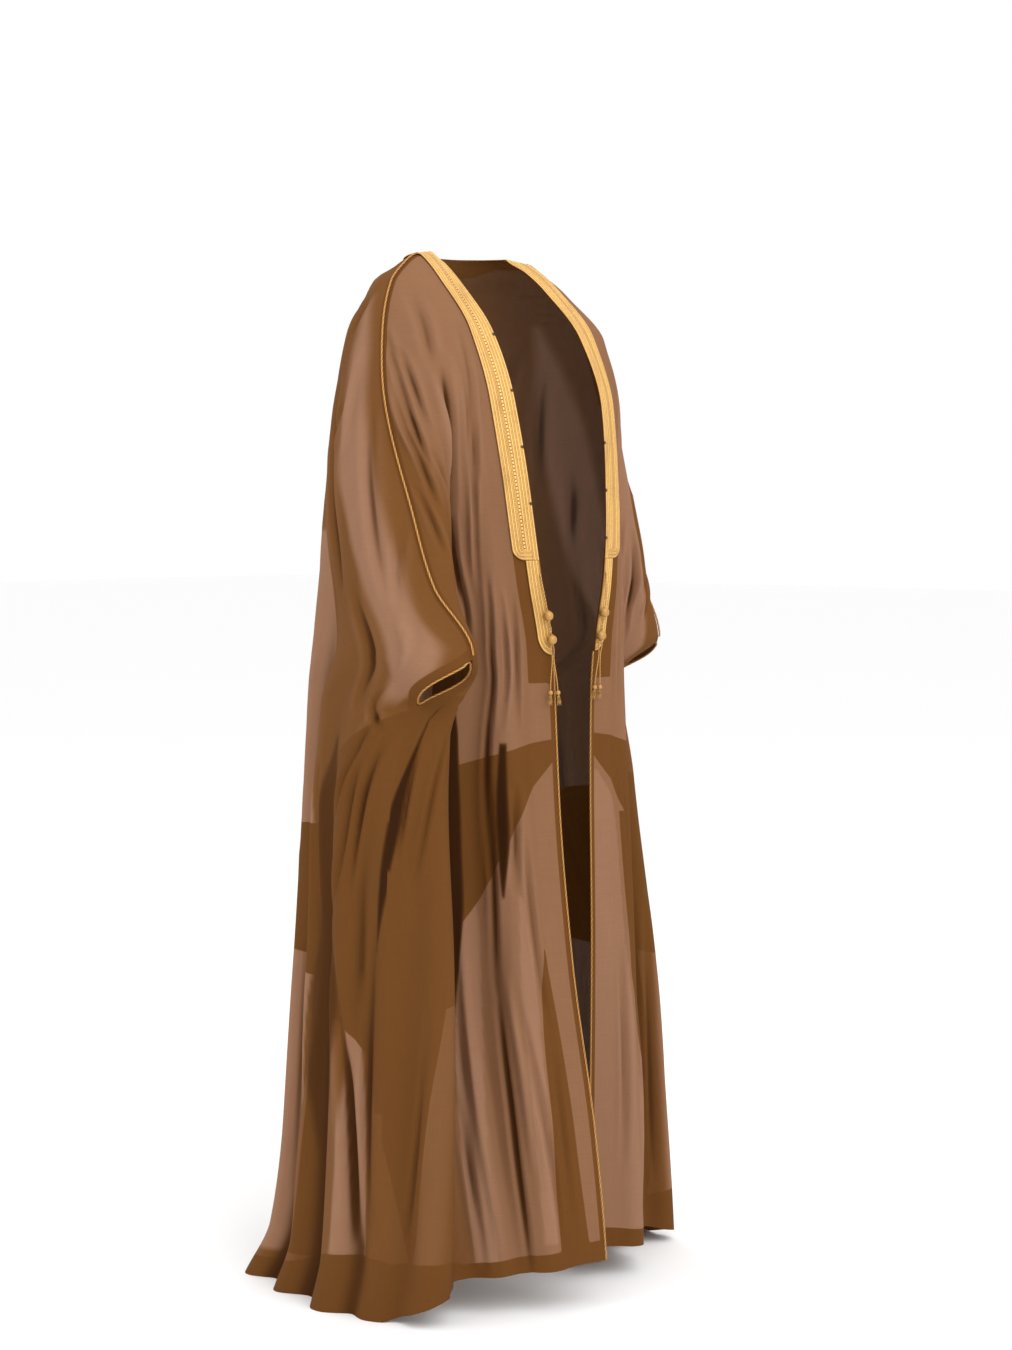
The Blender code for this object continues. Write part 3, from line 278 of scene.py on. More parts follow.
# Zones of other cloth: where a fold lies double; painted light where light comes through a single layer,
# with a sharp edge or a soft one, the soft one also painted highlights on the tops of the sleeves; and the
# painted deep or faint shade of a fold. Each has its ends in a at some heights, top first.
ZONES = (
    ("pale", "back_right", ((1.12, 0.20, 0.36), (1.02, 0.20, 0.44), (0.87, 0.20, 0.52), (0.73, 0.22, 0.57),
                            (0.58, 0.24, 0.61), (0.43, 0.24, 0.57), (0.31, 0.22, 0.55), (0.04, 0.20, 0.53))),
    ("pale", "back_right", ((0.52, 0.86, 0.87), (0.37, 0.83, 0.90), (0.24, 0.82, 0.92), (0.08, 0.81, 0.94))),
    ("pale", "front_right", ((0.70, 0.33, 0.34), (0.55, 0.29, 0.36), (0.30, 0.33, 0.44), (0.06, 0.36, 0.46))),
    ("pale", "front_right", ((0.60, 0.12, 0.14), (0.48, 0.10, 0.16), (0.30, 0.12, 0.18), (0.10, 0.14, 0.20))),
    ("pale", "front_left", ((0.77, 0.00, 0.02), (0.70, 0.00, 0.08), (0.47, 0.00, 0.13), (0.30, 0.00, 0.19),
                            (0.06, 0.00, 0.30))),
    ("lit", "front_left", ((0.48, 0.78, 0.84), (0.30, 0.76, 0.92), (0.04, 0.75, 0.94))),
    ("lit", "back_left", ((0.60, 0.30, 0.36), (0.40, 0.28, 0.42), (0.05, 0.30, 0.46))),
    ("doubled", "front_right", ((0.89, 0.70, 1.01), (0.80, 0.72, 1.01), (0.46, 0.78, 1.01),
                                (0.30, 0.82, 1.01),
                                (0.19, 0.84, 0.95), (0.12, 0.85, 0.91), (0.08, 0.87, 0.88))),
    ("doubled", "back_right", ((0.87, 0.97, 1.01), (0.84, 0.84, 1.01), (0.80, 0.72, 1.01),
                               (0.72, 0.60, 1.01), (0.52, 0.62, 1.01),
                               (0.46, 0.72, 1.01), (0.37, 0.92, 1.01), (0.30, 0.97, 1.01))),
    ("doubled", "back_right", ((0.50, 0.62, 0.80), (0.30, 0.60, 0.78), (0.06, 0.56, 0.76))),
    ("doubled", "front_right", ((0.52, 0.055, 0.06), (0.40, 0.045, 0.10), (0.20, 0.04, 0.125),
                                (0.06, 0.03, 0.14))),
    ("lit", "back_right", ((1.46, 0.14, 0.17), (1.38, 0.21, 0.30), (1.28, 0.29, 0.43), (1.20, 0.36, 0.54),
                            (1.12, 0.48, 0.66), (1.05, 0.60, 0.77), (1.00, 0.67, 0.84), (0.95, 0.74, 0.95),
                            (0.92, 0.80, 0.985), (0.87, 0.90, 0.94))),
    ("lit", "front_left", ((1.42, 0.10, 0.16), (1.20, 0.14, 0.46), (1.05, 0.20, 0.68), (0.94, 0.50, 0.86),
                            (0.90, 0.66, 0.70))),
    ("lit", "back_left", ((1.44, 0.12, 0.16), (1.28, 0.26, 0.42), (1.12, 0.44, 0.64), (0.98, 0.64, 0.86),
                           (0.90, 0.80, 0.86))),
    ("doubled", "front_left", ((0.70, 0.10, 0.68), (0.47, 0.14, 0.72), (0.30, 0.21, 0.74), (0.15, 0.34, 0.72),
                               (0.06, 0.60, 0.66))),
    ("shade", "front_right", ((0.88, 0.39, 0.43), (0.82, 0.350, 0.42), (0.72, 0.330, 0.42),
                              (0.60, 0.330, 0.42),
                              (0.50, 0.36, 0.43), (0.42, 0.40, 0.44))),
    ("shade", "front_right", ((0.82, 0.15, 0.19), (0.70, 0.145, 0.205), (0.59, 0.18, 0.20))),
    ("shade", "front_right", ((0.88, 0.905, 0.92), (0.80, 0.925, 0.96), (0.72, 0.945, 1.01),
                              (0.64, 0.985, 1.02))),
    ("shade", "back_right", ((0.72, 0.99, 1.02), (0.64, 0.965, 1.015), (0.58, 0.955, 0.99),
                             (0.52, 0.95, 0.96))),
    ("dim", "back_right", ((0.84, 0.66, 0.70), (0.72, 0.58, 0.70), (0.58, 0.59, 0.78), (0.42, 0.56, 0.82),
                           (0.26, 0.60, 0.78), (0.10, 0.66, 0.76))),
    ("dim", "back_left", ((0.78, 0.56, 0.62), (0.58, 0.54, 0.74), (0.36, 0.56, 0.76), (0.10, 0.62, 0.70))),
)
EDGE_TURN = 0.006            # cloth turned in along the front edges
ZONE_KINDS = ("pale", "lit", "doubled", "shade", "dim")
# Depth of the turned-in hem along a, metres: wider where the cloth spreads over the floor
HEM_DEPTHS = {
    "front": ((0.00, 0.20, 0.50, 0.80, 1.00), (0.030, 0.025, 0.020, 0.070, 0.090)),
    "back": ((-0.30, 0.40, 0.60, 0.80, 1.00), (0.025, 0.030, 0.050, 0.085, 0.090)),
}
TACKS = {"right": (0.32, 0.24, 0.16, 0.08), "left": (0.17, 0.10, 0.03)}

# Table of the bead's turned profile: place along its axis and radius, as shares of the radius
BEAD_PROFILE = (
    (1.12, 0.00), (1.12, 0.20), (1.04, 0.30), (0.96, 0.27), (0.92, 0.36), (0.80, 0.62), (0.58, 0.84),
    (0.30, 0.97), (0.00, 1.00), (-0.30, 0.97), (-0.58, 0.84), (-0.80, 0.62), (-0.92, 0.36),
    (-0.96, 0.27), (-1.04, 0.30), (-1.12, 0.20), (-1.12, 0.00),
)
TASSEL_TOP = 1.055
UPPER_BEAD = 0.996
LOWER_BEAD = 0.962
SMALL_BEAD = 0.886
FRAY = 0.016
STRING_SPREAD = 0.0055

# The view: the camera's distance from the cloak's axis and its place round it
VIEW_AZIMUTH = math.radians(-50)
VIEW_DISTANCE = 4.0
CAMERA_RISE = -0.370         # above the origin
AIM_RISE = -0.618
FRAME_WIDTH = 1012           # pixels of the photograph
PIXELS_PER_METRE = 676       # at the cloak's axis
SENSOR_WIDTH = 36.0
AXIS_COLUMN = 505


def dye(red, green, blue):
    """A screen colour, 0 to 255, as the linear values that shaders and properties take."""
    share = np.array([red, green, blue]) / 255.0
    linear = np.where(share <= 0.04045, share / 12.92, ((share + 0.055) / 1.055) ** 2.4)
    return tuple(float(value) for value in linear)


def smooth_between(knots, values, at):
    """Cubic interpolation of a table's rows that never passes beyond them: each inner
    slope is the harmonic mean of its neighbours', or level where they change sign."""
    steps = np.diff(knots).reshape((-1,) + (1,) * (values.ndim - 1))
    rates = np.diff(values, axis=0) / steps
    product = rates[:-1] * rates[1:]
    total = rates[:-1] + rates[1:]
    level = product <= 0
    inner = np.where(level, 0.0, 2 * product / np.where(level, 1.0, total))
    slopes = np.concatenate([rates[:1], inner, rates[-1:]])
    at = np.clip(at, knots[0], knots[-1])
    row = np.clip(np.searchsorted(knots, at, side="right") - 1, 0, len(knots) - 2)
    step = knots[row + 1] - knots[row]
    t = (at - knots[row]) / step
    shape = (-1,) + (1,) * (values.ndim - 1)
    t = t.reshape(shape)
    step = step.reshape(shape)
    return ((2 * t**3 - 3 * t**2 + 1) * values[row] + (t**3 - 2 * t**2 + t) * step * slopes[row]
            + (3 * t**2 - 2 * t**3) * values[row + 1] + (t**3 - t**2) * step * slopes[row + 1])


def smooth_step(x):
    """0 below 0, 1 above 1 and a smooth rise between."""
    x = np.clip(x, 0.0, 1.0)
    return x * x * (3.0 - 2.0 * x)


def through(points, samples):
    """A curve through the inner points of an (n, p, 2) array: a cubic with each inner
    point's tangent along its neighbours' chord, sampled evenly between the points."""
    t = np.linspace(0.0, 1.0, samples, endpoint=False)[None, :, None]
    spans = []
    for i in range(1, points.shape[1] - 2):
        before, start, end, after = (points[:, i + k, None, :] for k in (-1, 0, 1, 2))
        chord = np.linalg.norm(end - start, axis=2, keepdims=True)
        leaving = end - before
        arriving = after - start
        leaving = leaving * chord / np.maximum(np.linalg.norm(leaving, axis=2, keepdims=True), 1e-9)
        arriving = arriving * chord / np.maximum(np.linalg.norm(arriving, axis=2, keepdims=True), 1e-9)
        spans.append((2 * t**3 - 3 * t**2 + 1) * start + (t**3 - 2 * t**2 + t) * leaving
                     + (3 * t**2 - 2 * t**3) * end + (t**3 - t**2) * arriving)
    spans.append(points[:, -2, None, :])
    return np.concatenate(spans, axis=1)


def evened(curves, samples):
    """Each sampled curve resampled at even distances along it, and each one's length."""
    steps = np.linalg.norm(np.diff(curves, axis=1), axis=2)
    along = np.concatenate([np.zeros((len(curves), 1)), np.cumsum(steps, axis=1)], axis=1)
    length = along[:, -1]
    rows = np.arange(len(curves))
    placed = []
    for share in np.linspace(0.0, 1.0, samples):
        distance = length * share
        cell = np.clip((along < distance[:, None]).sum(axis=1) - 1, 0, curves.shape[1] - 2)
        span = np.maximum(along[rows, cell + 1] - along[rows, cell], 1e-9)
        t = ((distance - along[rows, cell]) / span)[:, None]
        placed.append(curves[rows, cell] * (1 - t) + curves[rows, cell + 1] * t)
    return np.stack(placed, axis=1), length


class Side:
    """One half of the worn cloak as a surface: a point for each a and height on its front
    and on its back. Sections are looked up in tables at every millimetre of height."""

    SPAN_SAMPLES = 16
    SECTION_SAMPLES = 361

    def __init__(self, name):
        settings = SIDES[name]
        self.name = name
        self.sign = settings["sign"]
        self.hem = settings["hem"]
        self.cuff_top = settings["cuff_top"]
        self.cuff_bottom = settings["cuff_bottom"]
        self.cuff_half_width = settings["cuff_half_width"]
        rows = sorted(settings["sections"])
        self.heights = np.array([row[0] for row in rows]) * MM
        self.marks = np.array([list(row[1:-1]) + [(0.0, row[-1])] for row in rows], dtype=float) * MM
        self.levels = np.arange(0, round(NECK_HEIGHT / MM) + 1) * MM
        marks = self.landmarks(self.levels)
        before = 2 * marks[:, 0] - marks[:, 1]
        front = np.concatenate([before[:, None], marks[:, :6]], axis=1)
        after = marks[:, 7] * np.array([-1.0, 1.0])
        back = np.concatenate([marks[:, 3:], after[:, None]], axis=1)
        self.front_table, self.front_length = evened(through(front, self.SPAN_SAMPLES), self.SECTION_SAMPLES)
        self.back_table, self.back_length = evened(through(back, self.SPAN_SAMPLES), self.SECTION_SAMPLES)
        self.neck_length = self.back_length[-1]
        self._measure_seam()

    def landmarks(self, height):
        return smooth_between(self.heights, self.marks, np.atleast_1d(height))

    def _measure_seam(self):
        """Lengths along the shoulder seam, from the neck point to the cuff."""
        self.seam_heights = np.linspace(self.cuff_top, NECK_HEIGHT, 400)[::-1]
        seam = self.landmarks(self.seam_heights)[:, 4]
        steps = np.hypot(np.linalg.norm(np.diff(seam, axis=0), axis=1), np.diff(self.seam_heights))
        lengths = np.concatenate([[0.0], np.cumsum(steps)])
        self.seam_length = lengths[-1]
        self.seam_shares = lengths / lengths[-1]
        self.band_share = BAND_WIDTH / self.seam_length

    def seam_share(self, height):
        """The share of the shoulder seam that lies above a height."""
        return np.interp(-np.asarray(height), -self.seam_heights, self.seam_shares)

    def seam_height(self, share):
        return np.interp(share, self.seam_shares, self.seam_heights)

    def _look_up(self, table, height, share):
        """Two-way linear interpolation in a table of sections."""
        row = np.clip(height / MM, 0, len(self.levels) - 1)
        low = np.minimum(row.astype(int), len(self.levels) - 2)
        up = (row - low)[..., None]
        place = np.clip(share, 0.0, 1.0) * (self.SECTION_SAMPLES - 1)
        near = np.minimum(place.astype(int), self.SECTION_SAMPLES - 2)
        on = (place - near)[..., None]
        lower = table[low, near] * (1 - on) + table[low, near + 1] * on
        upper = table[low + 1, near] * (1 - on) + table[low + 1, near + 1] * on
        return lower * (1 - up) + upper * up

    def _opened(self, plan, height, direction):
        """Opens the cuff: points beside the straight line between its ends move out (1) or
        in (-1), by a half sine along the line that fades with the distance from it."""
        place = np.concatenate([plan, height[..., None]], axis=-1)
        ends = np.array([self.cuff_top, self.cuff_bottom])
        top, bottom = np.column_stack([self.landmarks(ends)[:, 4], ends])
        slit = bottom - top
        along = np.clip((place - top) @ slit / slit.dot(slit), 0.0, 1.0)
        distance = np.linalg.norm(place - top - along[..., None] * slit, axis=-1)
        moved = plan.copy()
        moved[..., 0] += (direction * self.cuff_half_width * np.sin(math.pi * along)
                          * np.exp(-(distance / CUFF_SPREAD) ** 2))
        return moved

    def _placed(self, plan, height):
        return np.stack([self.sign * plan[..., 0], plan[..., 1], height - NECK_HEIGHT], axis=-1)

    def front_distance(self, a, height):
        """How far a lies from the front edge along the section, and the section's length:
        the band keeps its width, and the cloth beyond it shares what is left."""
        length = np.interp(height, self.levels, self.front_length)
        reached = np.maximum(self.seam_share(height), 1e-9)
        in_band = np.where(reached > self.band_share, a * self.seam_length, length * a / reached)
        beyond = (BAND_WIDTH + (a - self.band_share) / np.maximum(reached - self.band_share, 1e-9)
                  * (length - BAND_WIDTH))
        return np.where(a <= self.band_share, in_band, beyond), length

    def front_point(self, a, height):
        """The front at a share a of the seam's length and a height above the floor."""
        distance, length = self.front_distance(a, height)
        plan = self._look_up(self.front_table, height, distance / np.maximum(length, 1e-9))
        return self._placed(self._opened(plan, height, -1), height)

    def front_strip(self, width, height):
        """The front at a width from its edge, for bands and cords."""
        length = np.interp(height, self.levels, self.front_length)
        plan = self._look_up(self.front_table, height, width / np.maximum(length, 1e-9))
        return self._placed(self._opened(plan, height, -1), height)

    def back_point(self, a, height):
        """The back at a, which is below 0 between a neck point and the centre back."""
        from_spine = self.neck_length + a * self.seam_length
        whole = self.neck_length + self.seam_share(height) * self.seam_length
        plan = self._look_up(self.back_table, height, 1.0 - np.clip(from_spine / whole, 0, 1))
        return self._placed(self._opened(plan, height, 1), height)

    def tuck_lines(self, a, on_back):
        """Heights of the tuck seam and of the doubled cloth's lower edge."""
        if on_back:
            spine = -self.neck_length / self.seam_length
            to_spine = np.clip((1.0 - a) / (1.0 - spine), 0, 1)
            tuck = TUCK_AT_SIDE + (TUCK_AT_SPINE - TUCK_AT_SIDE) * to_spine
            depth = TUCK_DEPTH_SIDE + (TUCK_DEPTH_SPINE - TUCK_DEPTH_SIDE) * to_spine
        else:
            tuck = TUCK_AT_EDGE + (TUCK_AT_SIDE - TUCK_AT_EDGE) * a
            depth = TUCK_DEPTH_EDGE + ((TUCK_DEPTH_SIDE - TUCK_DEPTH_EDGE)
                                       * np.sin(np.clip(a / 0.6, 0, 1) * math.pi / 2))
        return tuck, tuck - depth

    def tops(self, a):
        """The height of each column's upper end: on the seam, or on the neckline."""
        return np.where(a > 0, self.seam_height(np.maximum(a, 0)), NECK_HEIGHT)


RIGHT = Side("right")
LEFT = Side("left")


def fold_offset(panel, a, height, seam_share):
    """Sum of the panel's folds: a squared cosine across each fold's line, fading in
    below its upper end and dying out at the seams and the front edge."""
    offset = np.zeros_like(height)
    for name, a_top, a_bottom, top, bottom, depth, width in FOLDS:
        if name != panel:
            continue
        t = np.clip((top - height) / (top - bottom), 0.0, 1.0)
        across = (a - (a_top + (a_bottom - a_top) * t)) / width
        ridge = np.where(np.abs(across) < 1.0, np.cos(np.clip(across, -1, 1) * math.pi / 2) ** 2, 0.0)
        offset += depth * MM * ridge * smooth_step((top - height) / FOLD_FADE)
    near_seam = smooth_step((seam_share - a) / SEAM_FADE)
    if panel.startswith("front"):
        near_seam = near_seam * smooth_step((a - BAND_WIDTH) / SEAM_FADE)
    return offset * near_seam


def crease_offset(panel, a, height, seam_length, seam_share):
    """Sum of the panel's creases: across its bent line each is a bell curve with two
    shallower ones of the other sign beside it, and a half sine's root along the line."""
    offset = np.zeros_like(height)
    across = a * seam_length
    for name, a_top, top, a_bottom, bottom, bend, depth, width in CREASES:
        if name != panel:
            continue
        start = np.array([a_top * seam_length, top])
        run = np.array([a_bottom * seam_length, bottom]) - start
        length = np.hypot(*run)
        ahead = run / length
        t = ((across - start[0]) * ahead[0] + (height - start[1]) * ahead[1]) / length
        inside = np.clip(t, 0.0, 1.0)
        aside = (across - start[0]) * ahead[1] - (height - start[1]) * ahead[0]
        aside = (aside - bend * MM * 4 * inside * (1 - inside)) / (width * MM)
        bell = np.exp(-aside**2)
        lips = np.exp(-(np.abs(aside) - LIP_PLACE) ** 2)
        offset += depth * MM * (bell - LIP * lips) * np.sin(math.pi * inside) ** 0.8
    near_seam = smooth_step((seam_share - a) / 0.03)
    if panel.startswith("front"):
        near_seam = near_seam * smooth_step((a - BAND_WIDTH / seam_length) / 0.03)
    return offset * near_seam


def zone_inside(kind, panel, a, height, seam_length):
    """How far inside a zone of one kind each point lies, in metres, below 0 outside them."""
    inside = np.full(height.shape, -1.0)
    for zone_kind, zone_panel, rows in ZONES:
        if zone_kind != kind or zone_panel != panel:
            continue
        table = np.array(rows[::-1])
        ends = smooth_between(table[:, 0], table[:, 1:], height.ravel()).reshape(*height.shape, 2)
        aside = np.minimum(a - ends[..., 0], ends[..., 1] - a) * seam_length
        upright = np.minimum(table[-1, 0] - height, height - table[0, 0])
        inside = np.maximum(inside, np.minimum(aside, upright))
    return inside


def grid_normals(points, flipped):
    """Unit normals of a grid of points: the cross product of its two differences."""
    across = np.gradient(points, axis=1)
    down = np.gradient(points, axis=0)
    normals = np.cross(across, down)
    normals /= np.maximum(np.linalg.norm(normals, axis=2, keepdims=True), 1e-12)
    return -normals if flipped else normals


def grid_faces(rows, columns, flipped=False, closed=False):
    """The four-sided cells of a grid, each as its corners' numbers."""
    number = np.arange(rows * columns).reshape(rows, columns)
    if closed:
        number = np.concatenate([number, number[:, :1]], axis=1)
    corners = [number[:-1, :-1], number[:-1, 1:], number[1:, 1:], number[1:, :-1]]
    faces = np.stack(corners, axis=-1).reshape(-1, 4)
    return faces[:, ::-1] if flipped else faces


def add_mesh(name, points, faces, material, uv=None, values=None):
    """A mesh object from arrays, with a UV for each point and one named value layer each."""
    mesh = bpy.data.meshes.new(name)
    mesh.from_pydata(points.reshape(-1, 3).tolist(), [], faces if isinstance(faces, list) else faces.tolist())
    if uv is not None:
        corners = np.empty(len(mesh.loops), dtype=np.int32)
        mesh.loops.foreach_get("vertex_index", corners)
        at_corners = uv.reshape(-1, 2)[corners].astype(np.float32).ravel()
        mesh.uv_layers.new(name="UVMap").data.foreach_set("uv", at_corners)
    for key, value in (values or {}).items():
        layer = mesh.attributes.new(key, "FLOAT", "POINT")
        layer.data.foreach_set("value", np.asarray(value, dtype=np.float32).ravel())
    mesh.shade_smooth()
    mesh.materials.append(material)
    made = bpy.data.objects.new(name, mesh)
    bpy.context.scene.collection.objects.link(made)
    return made


def near_polyline(points, line):
    """The distance of each point from the nearest of a dense line's points."""
    flat = points.reshape(-1, 3)
    nearest = np.empty(len(flat))
    for start in range(0, len(flat), 4000):
        block = flat[start:start + 4000]
        nearest[start:start + 4000] = np.linalg.norm(block[:, None] - line[None], axis=2).min(axis=1)
    return nearest.reshape(points.shape[:-1])


class Value:
    """A socket of a material. Operators on it, or between it and a number, add Math nodes."""

    def __init__(self, shop, socket):
        self.shop = shop
        self.socket = socket

    def math(self, operation, *others):
        values = {0: self}
        values.update({place + 1: other for place, other in enumerate(others)})
        return self.shop.node("ShaderNodeMath", {"operation": operation}, values)

    def __add__(self, other):
        return self.math("ADD", other)

    __radd__ = __add__

    def __mul__(self, other):
        return self.math("MULTIPLY", other)

    __rmul__ = __mul__

    def __sub__(self, other):
        return self.math("SUBTRACT", other)

    def __rsub__(self, other):
        return (self * -1.0) + other

    def __truediv__(self, other):
        return self.math("DIVIDE", other)

    def __pow__(self, other):
        return self.math("POWER", other)

    def rise(self, low, high):
        """A smooth rise from 0 at low to 1 at high."""
        ends = {"Value": self, "From Min": low, "From Max": high}
        return self.shop.node("ShaderNodeMapRange", {"interpolation_type": "SMOOTHSTEP"}, ends)


class Shop:
    """A material whose nodes are added one expression at a time."""

    def __init__(self, name):
        self.material = bpy.data.materials.new(name)
        self.material.use_nodes = True
        self.tree = self.material.node_tree
        self.surface = self.tree.nodes["Principled BSDF"]

    def node(self, kind, settings=None, values=None, output=0):
        """A node of any kind: settings first, then its sockets' values or links."""
        made = self.tree.nodes.new(kind)
        for key, setting in (settings or {}).items():
            setattr(made, key, setting)
        for key, value in (values or {}).items():
            self.feed(made.inputs[key], value)
        return Value(self, made.outputs[output])

    def feed(self, socket, value):
        if isinstance(value, Value):
            self.tree.links.new(value.socket, socket)
        else:
            socket.default_value = value

    def set(self, **sockets):
        """Constants and links of the surface shader, by its sockets' names."""
        for key, value in sockets.items():
            self.feed(self.surface.inputs[key.replace("_", " ")], value)

    def layer(self, name):
        return self.node("ShaderNodeAttribute", {"attribute_name": name}, output="Fac")

    def uv(self):
        return self.node("ShaderNodeUVMap", {"uv_map": "UVMap"})

    def scaled(self, vector, x, y, z=1.0):
        return self.node("ShaderNodeMapping", values={"Vector": vector, "Scale": (x, y, z)})

    def noise(self, vector, scale, detail=2.0, roughness=0.5):
        values = {"Vector": vector, "Scale": scale, "Detail": detail, "Roughness": roughness}
        return self.node("ShaderNodeTexNoise", values=values)

    def split(self, vector):
        parts = self.tree.nodes.new("ShaderNodeSeparateXYZ")
        self.tree.links.new(vector.socket, parts.inputs[0])
        return [Value(self, output) for output in parts.outputs]

    def blend(self, factor, first, second, how="MIX"):
        """One colour over another by a factor."""
        values = {0: factor, 6: self.colour(first), 7: self.colour(second)}
        settings = {"data_type": "RGBA", "blend_type": how}
        return self.node("ShaderNodeMix", settings, values, output=2)

    @staticmethod
    def colour(value):
        return value if isinstance(value, Value) else (*value[:3], 1.0)

    def bump(self, height, distance, strength=1.0):
        values = {"Height": height, "Distance": distance, "Strength": strength}
        return self.node("ShaderNodeBump", values=values)


def cloth_material(settings, name, doubled):
    """Sheer plain-woven wool. Its own layers say where it lies doubled, near which edges it is turned in,
    how deep in a crease it is, for painted shade, and how much painted light comes through it or falls on it."""
    shop = Shop(name)
    uv = shop.uv()
    warp = shop.noise(shop.scaled(uv, 900.0, 22.0), 1.0, 2.0)
    weft = shop.noise(shop.scaled(uv, 22.0, 900.0), 1.0, 2.0)
    slub = warp * 0.5 + weft * 0.5
    cloud = shop.noise(shop.scaled(uv, 1.0, 0.6), 9.0, 4.0, 0.6)
    along, up, _ = shop.split(uv)
    if doubled:
        twice = 1.0 + slub * 0.0
        crease = 0.0 * slub
        pale = 0.0 * slub
    else:
        edge = 0.0006
        tuck = shop.layer("tuck").rise(-edge, edge)
        strip = shop.layer("strip").rise(-edge, edge)
        twice = tuck.math("MAXIMUM", strip)
        crease = shop.layer("crease")
        pale = shop.layer("pale")
    # Painted light: paler where light comes through a single layer, on lit places and on ridges
    single = shop.blend(pale, tuple(settings.cloth_colour), tuple(settings.painted_light_colour))
    colour = shop.blend(twice, single, tuple(settings.doubled_colour))
    # Painted shade: creases and the depths of folds darken the cloth's colour
    colour = shop.blend(crease.rise(0.0, 0.62), colour, tuple(settings.crease_shade_colour))
    colour = shop.blend(crease.rise(0.55, 1.0), colour, tuple(settings.deep_fold_shade_colour))
    tone = 0.78 + slub * 0.30 + cloud * 0.14
    tint = shop.node("ShaderNodeCombineXYZ", values={0: tone, 1: tone, 2: tone})
    colour = shop.blend(1.0, colour, tint, "MULTIPLY")
    sheer = settings.single_cover + (settings.doubled_cover - settings.single_cover) * twice
    open_weave = (slub - 0.5) * 0.06
    threads_u = (along * (2 * math.pi / settings.thread_pitch)).math("SINE")
    threads_v = (up * (2 * math.pi / settings.thread_pitch)).math("SINE")
    weave = threads_u * threads_v + slub * 2.0
    # The cloth glows faintly in its own colour: a painted glow for light coming through it from behind
    shop.set(Base_Color=colour, Alpha=(sheer + open_weave).math("MINIMUM", 1.0),
             Roughness=0.78 + slub * 0.14, Normal=shop.bump(weave, settings.thread_relief, 0.5),
             Sheen_Weight=0.02, Sheen_Roughness=0.4, Sheen_Tint=(*settings.painted_light_colour, 1.0),
             Specular_IOR_Level=0.08, Emission_Color=colour, Emission_Strength=settings.painted_glow)
    return shop.material


def band_material(settings):
    """Laid gold thread: painted highlights on the ridges and painted shade in the grooves, with a row of
    stitches down the middle.
    """
    shop = Shop("gold embroidery")
    uv = shop.uv()
    width, along, _ = shop.split(uv)
    ridge = shop.layer("ridge")
    twist = shop.noise(shop.scaled(uv, 700.0, 260.0), 1.0, 2.0)
    patch = shop.noise(shop.scaled(uv, 60.0, 14.0), 1.0, 3.0)
    strands = ((along + width * 0.7) * (2 * math.pi / settings.strand_pitch)).math("SINE") * 0.5 + 0.5
    # Painted shade in the grooves and painted highlights on the tops of the ridges and strands
    colour = shop.blend((ridge * 1.15 - 0.1).rise(0.0, 0.55), tuple(settings.groove_shade_and_patch_colour),
                        tuple(settings.band_colour))
    colour = shop.blend((ridge * 0.7 + twist * 0.45 + strands * 0.10).rise(0.62, 1.05), colour,
                        tuple(settings.pale_thread))
    # Darker patches at random, in the groove shade's colour
    colour = shop.blend(patch.rise(0.45, 0.75) * 0.35, colour, tuple(settings.groove_shade_and_patch_colour))
    # The middle row: a pale thread beside dark stitches
    stitch = shop.layer("stitch")
    dots = (along * (2 * math.pi / settings.stitch_pitch)).math("SINE").rise(0.35, 0.75)
    colour = shop.blend(stitch.rise(0.5, 0.9) * (1 - dots), colour, tuple(settings.pale_thread))
    colour = shop.blend(stitch.rise(0.5, 0.9) * dots, colour, tuple(settings.stitch_colour))
    colour = shop.blend(shop.layer("tack").rise(0.2, 0.8), colour, tuple(settings.stitch_colour))
    lift = twist * 0.6 + strands * 0.4
    shop.set(Base_Color=colour, Metallic=0.25, Roughness=0.40 + twist * 0.16,
             Normal=shop.bump(lift, 0.00025, 0.6))
    return shop.material


def cord_material(settings, name, colour):
    """Gold-wrapped cord, its strands wound round it, with painted shade between them and painted highlights
    on their tops.
    """
    shop = Shop(name)
    uv = shop.uv()
    wound = shop.noise(shop.scaled(uv, 900.0, 900.0), 1.0, 2.0)
    lay = shop.layer("ridge")
    # Painted shade between the strands and painted highlights on their tops
    tone = shop.blend((lay * 0.8 + wound * 0.4).rise(0.25, 0.95), tuple(settings.groove_shade_and_patch_colour), colour)
    tone = shop.blend((lay * 0.7 + wound * 0.5).rise(0.75, 1.1), tone, tuple(settings.pale_thread))
    shop.set(Base_Color=tone, Metallic=0.25, Roughness=0.40 + wound * 0.16,
             Normal=shop.bump(wound, 0.0002, 0.5))
    return shop.material


def floor_material(settings):
    """A matt pale floor with the faintest unevenness."""
    shop = Shop("floor")
    place = shop.node("ShaderNodeTexCoord", output="Object")
    patch = shop.noise(place, 1.3, 2.0)
    darker = tuple(c * 0.97 for c in settings.floor_colour)
    colour = shop.blend(patch * 0.2, tuple(settings.floor_colour), darker)
    shop.set(Base_Color=colour, Roughness=0.9, Specular_IOR_Level=0.1)
    return shop.material


def column_shares(side, cells):
    """Shares across a front or half a back, from the front edge or a neck point to the side:
    even cells in the band's width, then even to the side."""
    in_band = max(4, round(cells * side.band_share * 1.5))
    band = np.linspace(0.0, side.band_share, in_band, endpoint=False)
    return np.concatenate([band, np.linspace(side.band_share, 1.0, cells)])


